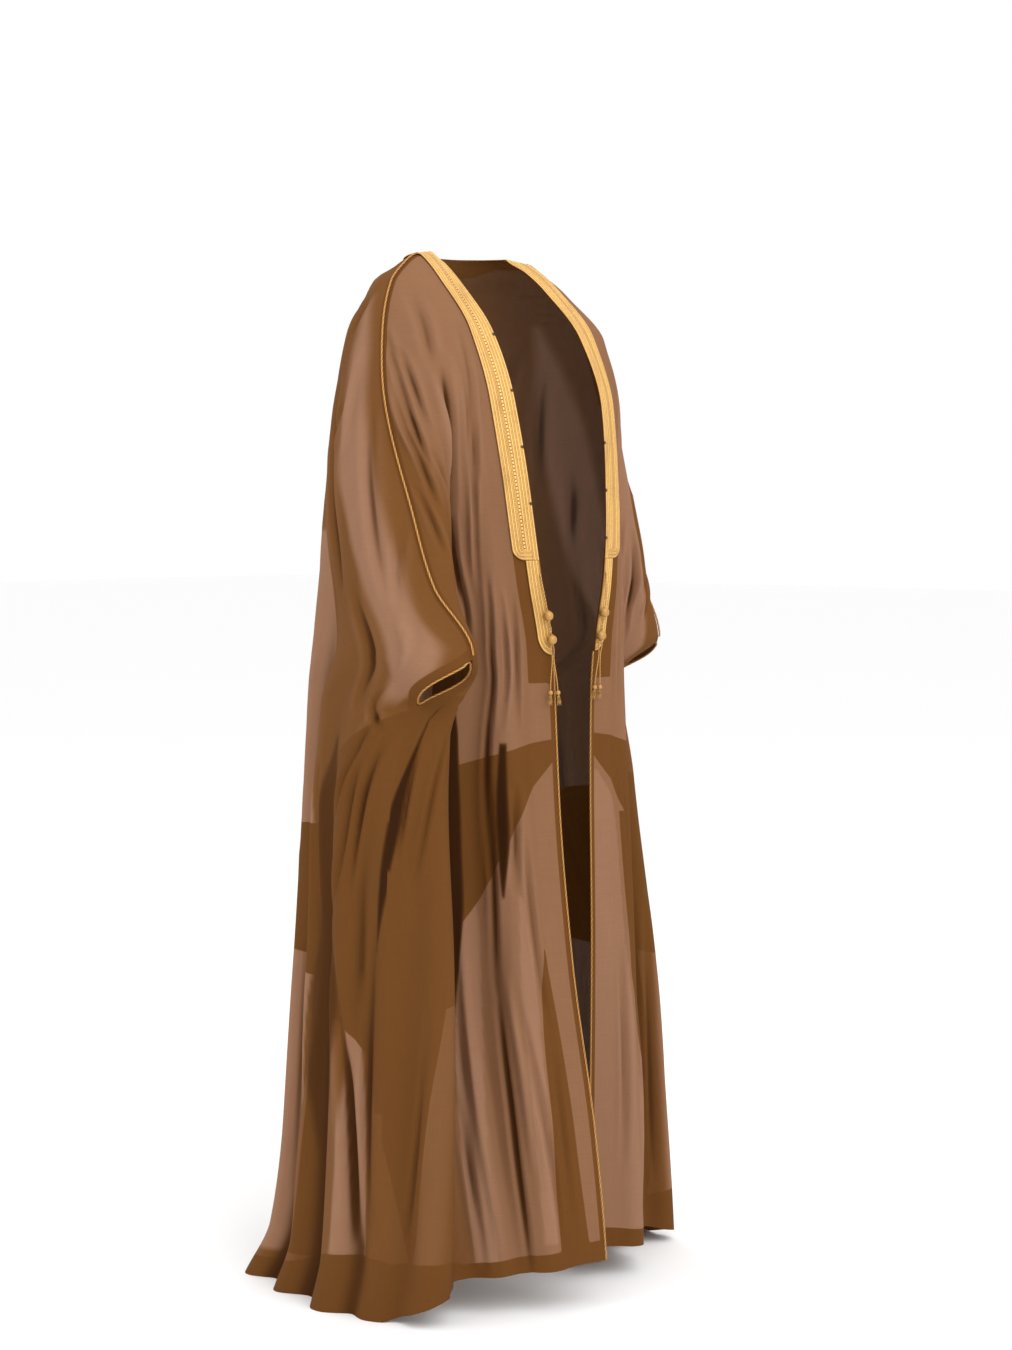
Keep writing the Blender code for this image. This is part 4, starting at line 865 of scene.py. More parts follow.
def upper_heights(side, a, rows, on_back):
    """Heights of the rows above the tuck seam. Near the side all but the first crowd
    abreast of the cuff, so that they meet its edge squarely."""
    f = np.linspace(0.0, 1.0, rows)[:, None]
    tuck, _ = side.tuck_lines(a, on_back)
    top = side.tops(a)
    own = top + (tuck - top) * f
    cuff = side.cuff_top + (side.cuff_bottom - side.cuff_top) * np.minimum(f / CUFF_SHARE, 1.0)
    beside = np.where(f < CUFF_SHARE, cuff,
                      side.cuff_bottom + (tuck - side.cuff_bottom) * (f - CUFF_SHARE) / (1 - CUFF_SHARE))
    weight = smooth_step((a - 0.5) / 0.5) * smooth_step(f / 0.06)
    return own * (1 - weight) + beside * weight


def lower_heights(side, a, rows, on_back):
    """Heights of the rows from the tuck seam to the hem."""
    tuck, _ = side.tuck_lines(a, on_back)
    hem = 0.0 * a if on_back else np.interp(a, (0.0, 0.66, 0.95), side.hem)
    return tuck + (hem - tuck) * np.linspace(0.0, 1.0, rows)[:, None], hem


class Grid:
    """A sheet of one panel: its points, outward normals and the values its cloth reads."""

    def __init__(self, side, panel, a, height, hem):
        self.flipped = side.sign > 0 and panel.startswith("front")
        on_back = panel.startswith("back")
        place = side.back_point if on_back else side.front_point
        self.a = np.broadcast_to(a, height.shape)
        self.height = height
        self.base = place(self.a, height)
        share = side.seam_share(height)
        self.folds = fold_offset(panel, self.a, height, share)
        self.creases = crease_offset(panel, self.a, height, side.seam_length, share)
        tuck, tuck_end = side.tuck_lines(self.a, on_back)
        self.tuck = np.minimum(tuck - height, height - tuck_end)
        self.above_hem = height - hem
        self.hem_depth = np.interp(self.a, *HEM_DEPTHS["back" if on_back else "front"])
        self.across = self.a * side.seam_length
        for kind in ZONE_KINDS:
            setattr(self, kind, zone_inside(kind, panel, self.a, height, side.seam_length))
        self.front = np.full(height.shape, 0.0 if on_back else 1.0)

    def joined(self, other):
        """This grid with another's columns after it, in reverse and without the first."""
        for key in ("a", "height", "base", "folds", "creases", "tuck", "above_hem", "hem_depth", "across",
                    "front", *ZONE_KINDS):
            mine = getattr(self, key)
            theirs = getattr(other, key)[:, ::-1][:, 1:]
            if key == "across":
                mine, theirs = -mine, theirs
            setattr(self, key, np.concatenate([mine, theirs], axis=1))
        return self

    def folded(self, off_wall):
        """The points with their folds and creases, moved off the solid's face. Folds move
        level, so that the hem stays on the floor, and so do creases near it."""
        normals = grid_normals(self.base, self.flipped)
        level = unit(normals * np.array([1.0, 1.0, 0.0]))
        steep = smooth_step((self.height - 0.05) / 0.30)
        leaning = unit(normals * np.stack([np.ones_like(steep), np.ones_like(steep), steep], axis=-1))
        return (self.base + level * self.folds[..., None] + leaning * self.creases[..., None]
                + normals * off_wall)


def unit(vectors):
    return vectors / np.maximum(np.linalg.norm(vectors, axis=-1, keepdims=True), 1e-12)


def seam_line(side, share):
    """Points of the shoulder seam at shares of its length."""
    return side.front_point(share, side.seam_height(share))


def cuff_lines(side, samples):
    """The cuff opening's edges on the front and on the back, from the top down."""
    height = np.linspace(side.cuff_top, side.cuff_bottom, samples)
    ones = np.ones(samples)
    return side.front_point(ones, height), side.back_point(ones, height)


def turned_in(sides, grid, points, settings, upper):
    """How far inside the nearest turned-in strip each point lies, below 0 outside them."""
    inside = np.maximum(grid.hem_depth - grid.above_hem, grid.doubled)
    if upper:
        shares = np.linspace(0.0, 1.0, 300)
        for side in sides:
            seam = near_polyline(points, seam_line(side, shares))
            cuff = near_polyline(points, np.concatenate(cuff_lines(side, 60)))
            inside = np.maximum(inside, settings.seam_allowance - seam)
            inside = np.maximum(inside, settings.cuff_depth - cuff)
    facing = np.minimum(BAND_WIDTH - grid.across, np.minimum(grid.height - FACING_END,
                                                             WIDE_BAND_END + 0.01 - grid.height))
    facing = np.maximum(facing, EDGE_TURN - grid.across)
    return np.where(grid.front > 0, np.maximum(inside, facing), inside)


def cloth_values(sides, grid, points, settings, upper):
    """The named values of a panel's cloth: distances inside its tuck and its doubled strips,
    the painted shade of its creases and folds, and painted light where light comes through
    and on the ridges beside creases."""
    relief = (grid.creases + settings.fold_share * grid.folds) / MM
    # Painted shade: the deeper a crease or fold lies in, the darker, and dark in the shade and dim zones
    crease = np.clip(-relief / settings.crease_reach, 0.0, 1.0) ** 1.8 * settings.crease_dark
    crease = np.maximum(crease, smooth_step(grid.shade / 0.012))
    crease = np.maximum(crease, 0.46 * smooth_step(grid.dim / 0.022))
    # Painted light: cloth standing out beside a crease is paler, as are the fronts near their edge and the
    # pale and lit zones
    ridge = np.clip(relief / settings.crease_reach, 0.0, 1.0)
    lit = settings.painted_front_light * grid.front * (1.0 - smooth_step((grid.a - 0.30) / 0.25))
    zones = np.maximum(0.9 * smooth_step(grid.lit / 0.028), 0.85 * smooth_step(grid.pale / 0.005))
    lit = np.maximum(lit, zones)
    pale = np.clip(lit + 0.45 * ridge, 0.0, 1.0)
    tuck = np.full(points.shape[:2], -1.0) if upper else grid.tuck
    strip = turned_in(sides, grid, points, settings, upper)
    return {"tuck": tuck, "strip": strip, "crease": crease, "pale": pale}


def add_panel(name, sides, grid, material, settings, upper):
    """One panel of cloth half way through its solid's wall, with its folds and creases."""
    points = grid.folded(WALL / 2)
    values = cloth_values(sides, grid, points, settings, upper)
    uv = np.stack([grid.across, grid.height], axis=-1)
    return add_mesh(name, points, grid_faces(*points.shape[:2], not grid.flipped), material, uv, values)


def sheet_area(points):
    """The area of a grid of points."""
    across = points[:-1, 1:] - points[:-1, :-1]
    down = points[1:, :-1] - points[:-1, :-1]
    far_across = points[1:, 1:] - points[1:, :-1]
    far_down = points[1:, 1:] - points[:-1, 1:]
    return 0.5 * (np.linalg.norm(np.cross(across, down), axis=2)
                  + np.linalg.norm(np.cross(far_across, far_down), axis=2)).sum()


class BishtCloth(bpy.types.PropertyGroup):
    """Sizes and colours of the sheer cloth."""

    cloth_colour: bpy.props.FloatVectorProperty(
        name="Cloth", description="Colour of a single layer of cloth", subtype="COLOR",
        default=dye(105, 67, 32))
    # Painted light: colour of the cloth where light comes through it or falls brightly on it
    painted_light_colour: bpy.props.FloatVectorProperty(
        name="Lit cloth", description="Colour where light comes through", subtype="COLOR",
        default=dye(140, 103, 79))
    doubled_colour: bpy.props.FloatVectorProperty(
        name="Doubled cloth", description="Colour of two layers", subtype="COLOR", default=dye(98, 61, 26))
    # Painted shade in creases and in the depths of folds
    crease_shade_colour: bpy.props.FloatVectorProperty(
        name="Creases", description="Colour in a crease", subtype="COLOR", default=dye(70, 40, 14))
    deep_fold_shade_colour: bpy.props.FloatVectorProperty(
        name="Deep folds", description="Colour in the depth of a fold", subtype="COLOR",
        default=dye(48, 24, 4))
    single_cover: bpy.props.FloatProperty(
        name="Single cover", description="How much one layer hides", subtype="FACTOR", default=0.99)
    doubled_cover: bpy.props.FloatProperty(
        name="Doubled cover", description="How much two layers hide", subtype="FACTOR", default=1.0)
    thread_pitch: bpy.props.FloatProperty(
        name="Thread pitch", description="Distance between threads", unit="LENGTH", default=0.0011)
    thread_relief: bpy.props.FloatProperty(
        name="Thread relief", description="How far threads stand out", unit="LENGTH", default=0.00025)
    cell: bpy.props.FloatProperty(
        name="Cell", description="Size of the cloth's mesh cells", unit="LENGTH", default=0.0042)
    seam_allowance: bpy.props.FloatProperty(
        name="Seam allowance", description="Cloth turned in beside the shoulder seam", unit="LENGTH",
        default=0.006)
    cuff_depth: bpy.props.FloatProperty(
        name="Cuff", description="Depth of the cuff's turned-in rim", unit="LENGTH", default=0.014)
    # How deep and how dark the painted shade of creases and folds is
    crease_reach: bpy.props.FloatProperty(
        name="Crease reach", description="Depth at which a crease is darkest, in millimetres", default=8.0)
    crease_dark: bpy.props.FloatProperty(
        name="Crease shade", description="How dark creases are", subtype="FACTOR", default=0.78)
    fold_share: bpy.props.FloatProperty(
        name="Fold shade", description="How much the large folds shade", subtype="FACTOR", default=0.35)
    # Painted glow: emission of the cloth's colour in place of light from behind
    painted_glow: bpy.props.FloatProperty(
        name="Light through", description="Light that comes through the cloth from behind", default=0.12)
    # Painted light on the fronts near their edge
    painted_front_light: bpy.props.FloatProperty(
        name="Lit front", description="How lit the fronts are", subtype="FACTOR", default=0.55)


class BishtGold(bpy.types.PropertyGroup):
    """Sizes and colours of the bands and cords."""

    band_colour: bpy.props.FloatVectorProperty(
        name="Gold", description="Colour of the laid thread", subtype="COLOR", default=dye(184, 136, 66))
    # Painted highlight on ridges and strands, and the pale thread of the middle row
    pale_thread: bpy.props.FloatVectorProperty(
        name="Pale thread", description="Colour on top of the ridges", subtype="COLOR",
        default=dye(232, 190, 112))
    # Painted shade between ridges and strands, also the colour of darker patches at random
    groove_shade_and_patch_colour: bpy.props.FloatVectorProperty(
        name="Grooves", description="Colour between the ridges", subtype="COLOR", default=dye(134, 86, 34))
    stitch_colour: bpy.props.FloatVectorProperty(
        name="Stitches", description="Colour of the middle row's dark stitches", subtype="COLOR",
        default=dye(70, 42, 16))
    cord_colour: bpy.props.FloatVectorProperty(
        name="Cord", description="Colour of the cords", subtype="COLOR", default=dye(190, 134, 60))
    ridge_pitch: bpy.props.FloatProperty(
        name="Ridge pitch", description="Width of one laid cord", unit="LENGTH", default=BAND_WIDTH / 16)
    ridge_height: bpy.props.FloatProperty(
        name="Ridge height", description="How far a ridge stands up", unit="LENGTH", default=0.0010)
    stitch_pitch: bpy.props.FloatProperty(
        name="Stitch pitch", description="Distance between the middle stitches", unit="LENGTH",
        default=0.0052)
    strand_pitch: bpy.props.FloatProperty(
        name="Strand pitch", description="Distance between a cord's strands", unit="LENGTH", default=0.0016)
    twist_pitch: bpy.props.FloatProperty(
        name="Twist", description="Length of one turn of a cord's strands", unit="LENGTH", default=0.009)


class BishtTassel(bpy.types.PropertyGroup):
    """Sizes of the tassels."""

    bead_radius: bpy.props.FloatProperty(
        name="Bead", description="Radius of the large beads", unit="LENGTH", default=0.0070)
    small_bead_radius: bpy.props.FloatProperty(
        name="Small bead", description="Radius of the small beads", unit="LENGTH", default=0.0034)
    string_radius: bpy.props.FloatProperty(
        name="String", description="Radius of the strings", unit="LENGTH", default=0.0010)
    strands: bpy.props.IntProperty(
        name="Strands", description="Strands in each frayed end", default=22, min=3)
    strand_colour: bpy.props.FloatVectorProperty(
        name="Frayed thread", description="Colour of the frayed ends", subtype="COLOR",
        default=dye(226, 186, 120))
    bead_colour: bpy.props.FloatVectorProperty(
        name="Beads", description="Colour of the thread round the beads", subtype="COLOR",
        default=dye(222, 170, 92))


class BishtStage(bpy.types.PropertyGroup):
    """The floor, the lights and the view."""

    floor_colour: bpy.props.FloatVectorProperty(
        name="Floor", description="Colour of the floor", subtype="COLOR", default=dye(253, 253, 253))
    key_power: bpy.props.FloatProperty(
        name="Key light", description="Power of the main light", unit="POWER", default=95.0)
    fill_power: bpy.props.FloatProperty(
        name="Fill light", description="Power of the side light", unit="POWER", default=26.0)
    top_power: bpy.props.FloatProperty(
        name="Top light", description="Power of the light above", unit="POWER", default=24.0)
    world_strength: bpy.props.FloatProperty(
        name="Surroundings", description="Brightness of the pale surroundings", default=1.0)


def along_cells(length, cell):
    return max(8, round(length / cell)) + 1


def front_grids(side, settings):
    """The front's upper and lower grids."""
    a = column_shares(side, along_cells(side.seam_length * 0.86, settings.cell))
    panel = "front_" + side.name
    rows = along_cells(0.75, settings.cell)
    height = upper_heights(side, a, rows, False)
    below, hem = lower_heights(side, a, rows, False)
    return Grid(side, panel, a, height, hem), Grid(side, panel, a, below, hem)


def back_grids(settings):
    """The back's upper and lower grids, from the right side over the spine to the left."""
    made = []
    for side in (RIGHT, LEFT):
        seam = column_shares(side, along_cells(side.seam_length * 0.80, settings.cell))[::-1]
        neck = -side.neck_length / side.seam_length * np.linspace(0.0, 1.0, 24)[1:]
        a = np.concatenate([seam, neck])
        rows = along_cells(0.75, settings.cell)
        height = upper_heights(side, a, rows, True)
        below, hem = lower_heights(side, a, rows, True)
        panel = "back_" + side.name
        made.append((Grid(side, panel, a, height, hem), Grid(side, panel, a, below, hem)))
    (right_upper, right_lower), (left_upper, left_lower) = made
    return right_upper.joined(left_upper), right_lower.joined(left_lower)


class BISHT_OT_cloth(bpy.types.Operator):
    """Makes the six panels of sheer cloth with their folds and creases."""

    bl_idname = "bisht.cloth"
    bl_label = "Cloth panels"

    def execute(self, context):
        settings = context.scene.bisht_cloth
        material = cloth_material(settings, "sheer wool", doubled=False)
        for side in (RIGHT, LEFT):
            upper, lower = front_grids(side, settings)
            for part, grid in (("upper", upper), ("lower", lower)):
                name = f"front_{side.name}_{part}"
                self.place(name, (side,), grid, material, settings, part == "upper")
        upper, lower = back_grids(settings)
        for part, grid in (("upper", upper), ("lower", lower)):
            self.place("back_" + part, (RIGHT, LEFT), grid, material, settings, part == "upper")
        return {"FINISHED"}

    def place(self, node, sides, grid, material, settings, upper):
        made = add_panel("cloth_" + node, sides, grid, material, settings, upper)
        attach(made, "root")
        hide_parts(node)
        width, length, area = flat_cut(grid)
        if len(made.data.polygons) * 2 > 200000:
            raise RuntimeError(f"{made.name} has too many faces")


def flat_cut(grid):
    """The size of a panel laid flat: its longest row, its tallest column, and its area, which
    is at most the product of the two."""
    steps_down = np.linalg.norm(np.diff(grid.base, axis=0), axis=2).sum(axis=0)
    steps_across = np.linalg.norm(np.diff(grid.base, axis=1), axis=2).sum(axis=1)
    width = float(steps_across.max())
    length = float(steps_down.max())
    area = float(sheet_area(grid.base))
    return width, length, min(area, width * length)


class BISHT_OT_inner_layers(bpy.types.Operator):
    """Makes the doubled cloth of the tuck and the facings behind the narrow bands."""

    bl_idname = "bisht.inner_layers"
    bl_label = "Tuck and facings"

    def execute(self, context):
        settings = context.scene.bisht_cloth
        material = cloth_material(settings, "doubled wool", doubled=True)
        lift = -SEAM_GAP - WALL / 2
        for side in (RIGHT, LEFT):
            a = column_shares(side, 90)
            self.tuck(f"tuck_front_{side.name}", self.tuck_grid(side, a, False), material, lift)
            self.facing(side, material, lift)
        halves = []
        for side in (RIGHT, LEFT):
            neck = -side.neck_length / side.seam_length * np.linspace(0.0, 1.0, 16)[1:]
            a = np.concatenate([column_shares(side, 90)[::-1], neck])
            halves.append(self.tuck_grid(side, a, True))
        self.tuck("tuck_back", halves[0].joined(halves[1]), material, lift)
        return {"FINISHED"}

    def tuck_grid(self, side, a, on_back):
        tuck, end = side.tuck_lines(a, on_back)
        height = tuck + (end - tuck) * np.linspace(0.0, 1.0, 40)[:, None]
        panel = ("back_" if on_back else "front_") + side.name
        return Grid(side, panel, a, height, 0.0 * a)

    def tuck(self, node, grid, material, lift):
        self.place(node, grid, material, lift)

    def facing(self, side, material, lift):
        a = np.linspace(0.0, side.band_share, 14)
        height = WIDE_BAND_END + (FACING_END - WIDE_BAND_END) * np.linspace(0.0, 1.0, 50)[:, None] + 0 * a
        grid = Grid(side, "front_" + side.name, a, height, 0.0 * a)
        self.place("facing_" + side.name, grid, material, lift)

    def place(self, node, grid, material, lift):
        points = grid.folded(lift)
        uv = np.stack([grid.across, grid.height], axis=-1)
        faces = grid_faces(*points.shape[:2], not grid.flipped)
        made = add_mesh("inner_" + node, points, faces, material, uv)
        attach(made, "root")
        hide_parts(node)
        width, length, area = flat_cut(grid)


def ridge_profile(distance, pitch):
    """Round cords side by side: a half sine's root over each pitch, every second one lower."""
    number = np.floor(distance / pitch)
    wave = np.abs(np.sin(math.pi * distance / pitch)) ** 0.7
    return wave * np.where(number % 2 == 0, 1.0, 0.72)


def wide_band_relief(width, above_end, settings):
    """Height of the wide band's laid cords, 0 to 1, and where its middle stitches run. The
    outer cords turn round its lower end, the rest run straight down it."""
    corner = 0.017
    outer_group = 0.0143
    inner_strip = 0.0095
    pitch = settings.ridge_pitch
    beside = np.maximum(width - (BAND_WIDTH - corner), 0.0)
    under = np.maximum(corner - above_end, 0.0)
    rounded = corner - np.hypot(beside, under)
    from_outline = np.where((beside > 0) & (under > 0), rounded, np.minimum(BAND_WIDTH - width, above_end))
    nested = (from_outline < outer_group) & (width > inner_strip)
    relief = np.where(nested, ridge_profile(from_outline, pitch), ridge_profile(width, pitch))
    middle = 0.0192
    stitch = np.where(nested, 0.0, np.clip(1.6 - np.abs(width - middle) / 0.0012, 0.0, 1.0))
    relief = np.where(stitch > 0.3, 0.35, relief)
    return relief, stitch


def tack_marks(above_end, width, name):
    """1 at the small tacks on a band's inner edge, falling to 0 around them."""
    marks = np.zeros(above_end.shape)
    for place in TACKS[name]:
        reach = np.hypot((above_end - place) / 0.0024, width / 0.0042)
        marks = np.maximum(marks, np.clip(1.5 - reach, 0.0, 1.0))
    return marks


def narrow_band_relief(width, above_end, settings):
    """Height of the narrow band's cords, 0 to 1, nested round its pointed end."""
    shares = np.hypot(width / NARROW_BAND_WIDTH, np.maximum(NARROW_POINT - above_end, 0.0) / NARROW_POINT)
    from_outline = NARROW_BAND_WIDTH * (1.0 - shares)
    return ridge_profile(from_outline, settings.ridge_pitch)


NARROW_POINT = 0.028
BAND_BASE = WALL + SEAM_GAP


def band_lanes(side, width, steps):
    """Points of one half of the wide band: for each width from the edge a lane from the
    rounded lower end up the front, round the neck point and along the neckline to the
    centre back. Returns the points and their height above the end."""
    corner = 0.017
    beside = np.maximum(width - (BAND_WIDTH - corner), 0.0)
    start = WIDE_BAND_END + corner - np.sqrt(np.maximum(corner**2 - beside**2, 0.0))
    share = width / side.seam_length
    end = side.seam_height(share)
    t = np.linspace(0.0, 1.0, steps[0])[:, None]
    height = start + (end - start) * t
    front = side.front_strip(np.broadcast_to(width, height.shape), height)
    turn = np.linspace(0.0, math.pi / 2, steps[1])[1:, None]
    drop = neck_drop(side, np.zeros(1), width)[0]
    a = share * np.cos(turn)
    arc_height = NECK_HEIGHT - (NECK_HEIGHT - end) * np.cos(turn) - drop * np.sin(turn)
    arc = side.back_point(a, arc_height)
    along = -side.neck_length / side.seam_length * np.linspace(0.0, 1.0, steps[2])[1:]
    drops = neck_drop(side, along, width)
    neck_a = np.broadcast_to(along[:, None], drops.shape)
    neck = side.back_point(neck_a, NECK_HEIGHT - drops)
    points = np.concatenate([front, arc, neck])
    above_end = np.concatenate([height - WIDE_BAND_END, np.full((len(points) - len(front), len(width)), 1.0)])
    return points, above_end


def neck_drop(side, a, width):
    """How far below the neckline, in height, each width of the band lies on the back at a:
    the distance is measured along the cloth."""
    drops = np.linspace(0.0, 0.060, 121)
    heights = np.broadcast_to(NECK_HEIGHT - drops, (len(a), len(drops)))
    columns = side.back_point(np.broadcast_to(a[:, None], heights.shape), heights)
    steps = np.linalg.norm(np.diff(columns, axis=1), axis=2)
    down = np.concatenate([np.zeros((len(a), 1)), np.cumsum(steps, axis=1)], axis=1)
    return np.stack([np.interp(width, row, drops) for row in down])


def solidify(made, thickness):
    """Gives a surface a wall on its inner side."""
    wall = made.modifiers.new("wall", "SOLIDIFY")
    wall.thickness = thickness
    wall.offset = -1.0
    wall.use_rim = True


class BISHT_OT_bands(bpy.types.Operator):
    """Makes the wide embroidered band round the neck and the narrow bands below it."""

    bl_idname = "bisht.bands"
    bl_label = "Gold bands"

    def execute(self, context):
        settings = context.scene.bisht_gold
        material = band_material(settings)
        self.wide(settings, material)
        for side in (RIGHT, LEFT):
            self.narrow(side, settings, material)
        return {"FINISHED"}

    def wide(self, settings, material):
        width = np.linspace(0.0, BAND_WIDTH, 77)
        steps = (270, 20, 40)
        right, right_above = band_lanes(RIGHT, width, steps)
        left, left_above = band_lanes(LEFT, width, steps)
        points = np.concatenate([right, left[::-1][1:]])
        above = np.concatenate([right_above, left_above[::-1][1:]])
        widths = np.broadcast_to(width, above.shape)
        relief, stitch = wide_band_relief(widths, above, settings)
        tack = np.concatenate([tack_marks(right_above, width, "right"),
                               tack_marks(left_above, width, "left")[::-1][1:]])
        layers = {"ridge": relief, "stitch": stitch, "tack": tack}
        self.place("wide_band", "neck_band", points, widths, layers, settings, material, False)

    def narrow(self, side, settings, material):
        width = np.linspace(0.0, NARROW_BAND_WIDTH, 41)
        round_end = np.sqrt(np.maximum(1 - (width / NARROW_BAND_WIDTH) ** 2, 0.0))
        start = NARROW_BAND_END + NARROW_POINT * (1 - round_end)
        top = WIDE_BAND_END - SEAM_GAP
        height = start + (top - start) * np.linspace(0.0, 1.0, 90)[:, None]
        points = side.front_strip(np.broadcast_to(width, height.shape), height)
        widths = np.broadcast_to(width, height.shape)
        relief = narrow_band_relief(widths, height - NARROW_BAND_END, settings)
        layers = {"ridge": relief, "stitch": 0.0 * relief, "tack": 0.0 * relief}
        self.place("narrow_band_strip_" + side.name, "narrow_band_" + side.name, points, widths, layers,
                   settings, material, side.sign > 0)

    def place(self, name, node, points, widths, layers, settings, material, flipped):
        """A band's surface: its lanes lifted off the cloth by its ground and its relief."""
        normals = grid_normals(points, flipped)
        edge = np.minimum(widths - widths.min(), widths.max() - widths)
        rounding = np.clip(edge / 0.0012, 0.0, 1.0) ** 0.5
        layers["ridge"] = layers["ridge"] * rounding
        lift = BAND_BASE + 0.0004 + settings.ridge_height * layers["ridge"]
        raised = points - normals * lift[..., None] if self.inward(normals) else \
            points + normals * lift[..., None]
        steps = np.linalg.norm(np.diff(points, axis=0), axis=2)
        run = np.concatenate([np.zeros((1, points.shape[1])), np.cumsum(steps, axis=0)])
        uv = np.stack([widths, run], axis=-1)
        turned = self.inward(normals)
        faces = grid_faces(*points.shape[:2], flipped=(not flipped) != turned)
        made = add_mesh(name, raised, faces, material, uv, layers)
        solidify(made, 0.0008)
        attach(made, "root")
        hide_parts(node)

    @staticmethod
    def inward(normals):
        """Whether the normals at a band's lower end point into the cloak, away from -Y."""
        return normals[3, :, 1].mean() > 0


def frames_along(path, first, closed):
    """Two unit directions across a path: first made square to it, and their product."""
    if closed:
        tangent = np.roll(path, -1, axis=0) - np.roll(path, 1, axis=0)
    else:
        tangent = np.gradient(path, axis=0)
    tangent /= np.linalg.norm(tangent, axis=1, keepdims=True)
    first = first - tangent * (first * tangent).sum(axis=1, keepdims=True)
    first /= np.linalg.norm(first, axis=1, keepdims=True)
    return first, np.cross(tangent, first)


def rounded_run(path, step, closed=False):
    """A smooth curve through a path's points, resampled at an even step: cubics whose
    tangents lie along the neighbours' chord."""
    points = np.concatenate([path[-1:], path, path[:2]]) if closed else \
        np.concatenate([2 * path[:1] - path[1:2], path, 2 * path[-1:] - path[-2:-1]])
    dense = through(points[None], 12)[0]
    steps = np.linalg.norm(np.diff(dense, axis=0), axis=1)
    along = np.concatenate([[0.0], np.cumsum(steps)])
    count = max(4, round(along[-1] / step))
    at = np.linspace(0.0, along[-1], count + 1)
    if closed:
        at = at[:-1]
    return np.stack([np.interp(at, along, dense[:, axis]) for axis in range(3)], axis=1)


def cord_mesh(name, path, first, radius, twist, material, closed=False, sides=14, lobes=3, depth=0.10):
    """A twisted cord: at each point of its path a circle whose radius swells in lobes that
    turn with the distance along it. The ends are drawn to a point and closed."""
    first, second = frames_along(path, first, closed)
    steps = np.linalg.norm(np.diff(path, axis=0), axis=1)
    along = np.concatenate([[0.0], np.cumsum(steps)])
    angle = np.arange(sides) * 2 * math.pi / sides
    lay = np.cos(lobes * angle[None, :] - 2 * math.pi * along[:, None] / twist)
    radius = np.broadcast_to(np.asarray(radius, dtype=float), along.shape)[:, None]
    radius = radius * (1 - depth / 2 + depth / 2 * lay)
    ring = (first[:, None] * np.cos(angle)[None, :, None] + second[:, None] * np.sin(angle)[None, :, None])
    points = path[:, None] + ring * radius[..., None]
    around_cord = np.broadcast_to(angle / (2 * math.pi) * 0.009, lay.shape)
    uv = np.stack([around_cord, along[:, None] + 0 * lay], axis=-1)
    ridge = (lay + 1) / 2
    rows = len(path)
    faces = grid_faces(rows, sides, flipped=True, closed=True).tolist()
    if closed:
        last = np.arange(sides) + (rows - 1) * sides
        # The last ring meets the first, turned by the lobes' phase
        after = np.arange(sides)
        faces += [[int(last[i]), int(after[i]), int(after[(i + 1) % sides]), int(last[(i + 1) % sides])][::-1]
                  for i in range(sides)]
        flat_points, flat_uv, flat_ridge = points.reshape(-1, 3), uv.reshape(-1, 2), ridge.ravel()
    else:
        flat_points = np.concatenate([points.reshape(-1, 3), path[:1], path[-1:]])
        flat_uv = np.concatenate([uv.reshape(-1, 2), uv[0, :1], uv[-1, :1]])
        flat_ridge = np.concatenate([ridge.ravel(), [0.5, 0.5]])
        head = rows * sides
        around = np.arange(sides)
        following = (around + 1) % sides
        top = np.stack([np.full(sides, head), following, around], axis=1)
        lower = (rows - 1) * sides
        bottom = np.stack([np.full(sides, head + 1), around + lower, following + lower], axis=1)
        faces += top[:, ::-1].tolist() + bottom[:, ::-1].tolist()
    return add_mesh(name, flat_points, faces, material, flat_uv, {"ridge": flat_ridge})


def seam_frame(side, share):
    """Points of the shoulder seam and the outward direction between its two panels."""
    height = side.seam_height(share)
    seam = side.front_point(share, height)
    ahead = unit(np.gradient(seam, axis=0))
    below = height - 0.006
    on_front = unit(side.front_point(share, below) - seam)
    on_back = unit(side.back_point(share, below) - seam)
    normal_front = unit(np.cross(ahead, on_front))
    normal_back = unit(np.cross(on_back, ahead))
    normal = unit(normal_front + normal_back)
    outward = np.where((normal[:, 2] < 0)[:, None], -normal, normal)
    return seam, outward


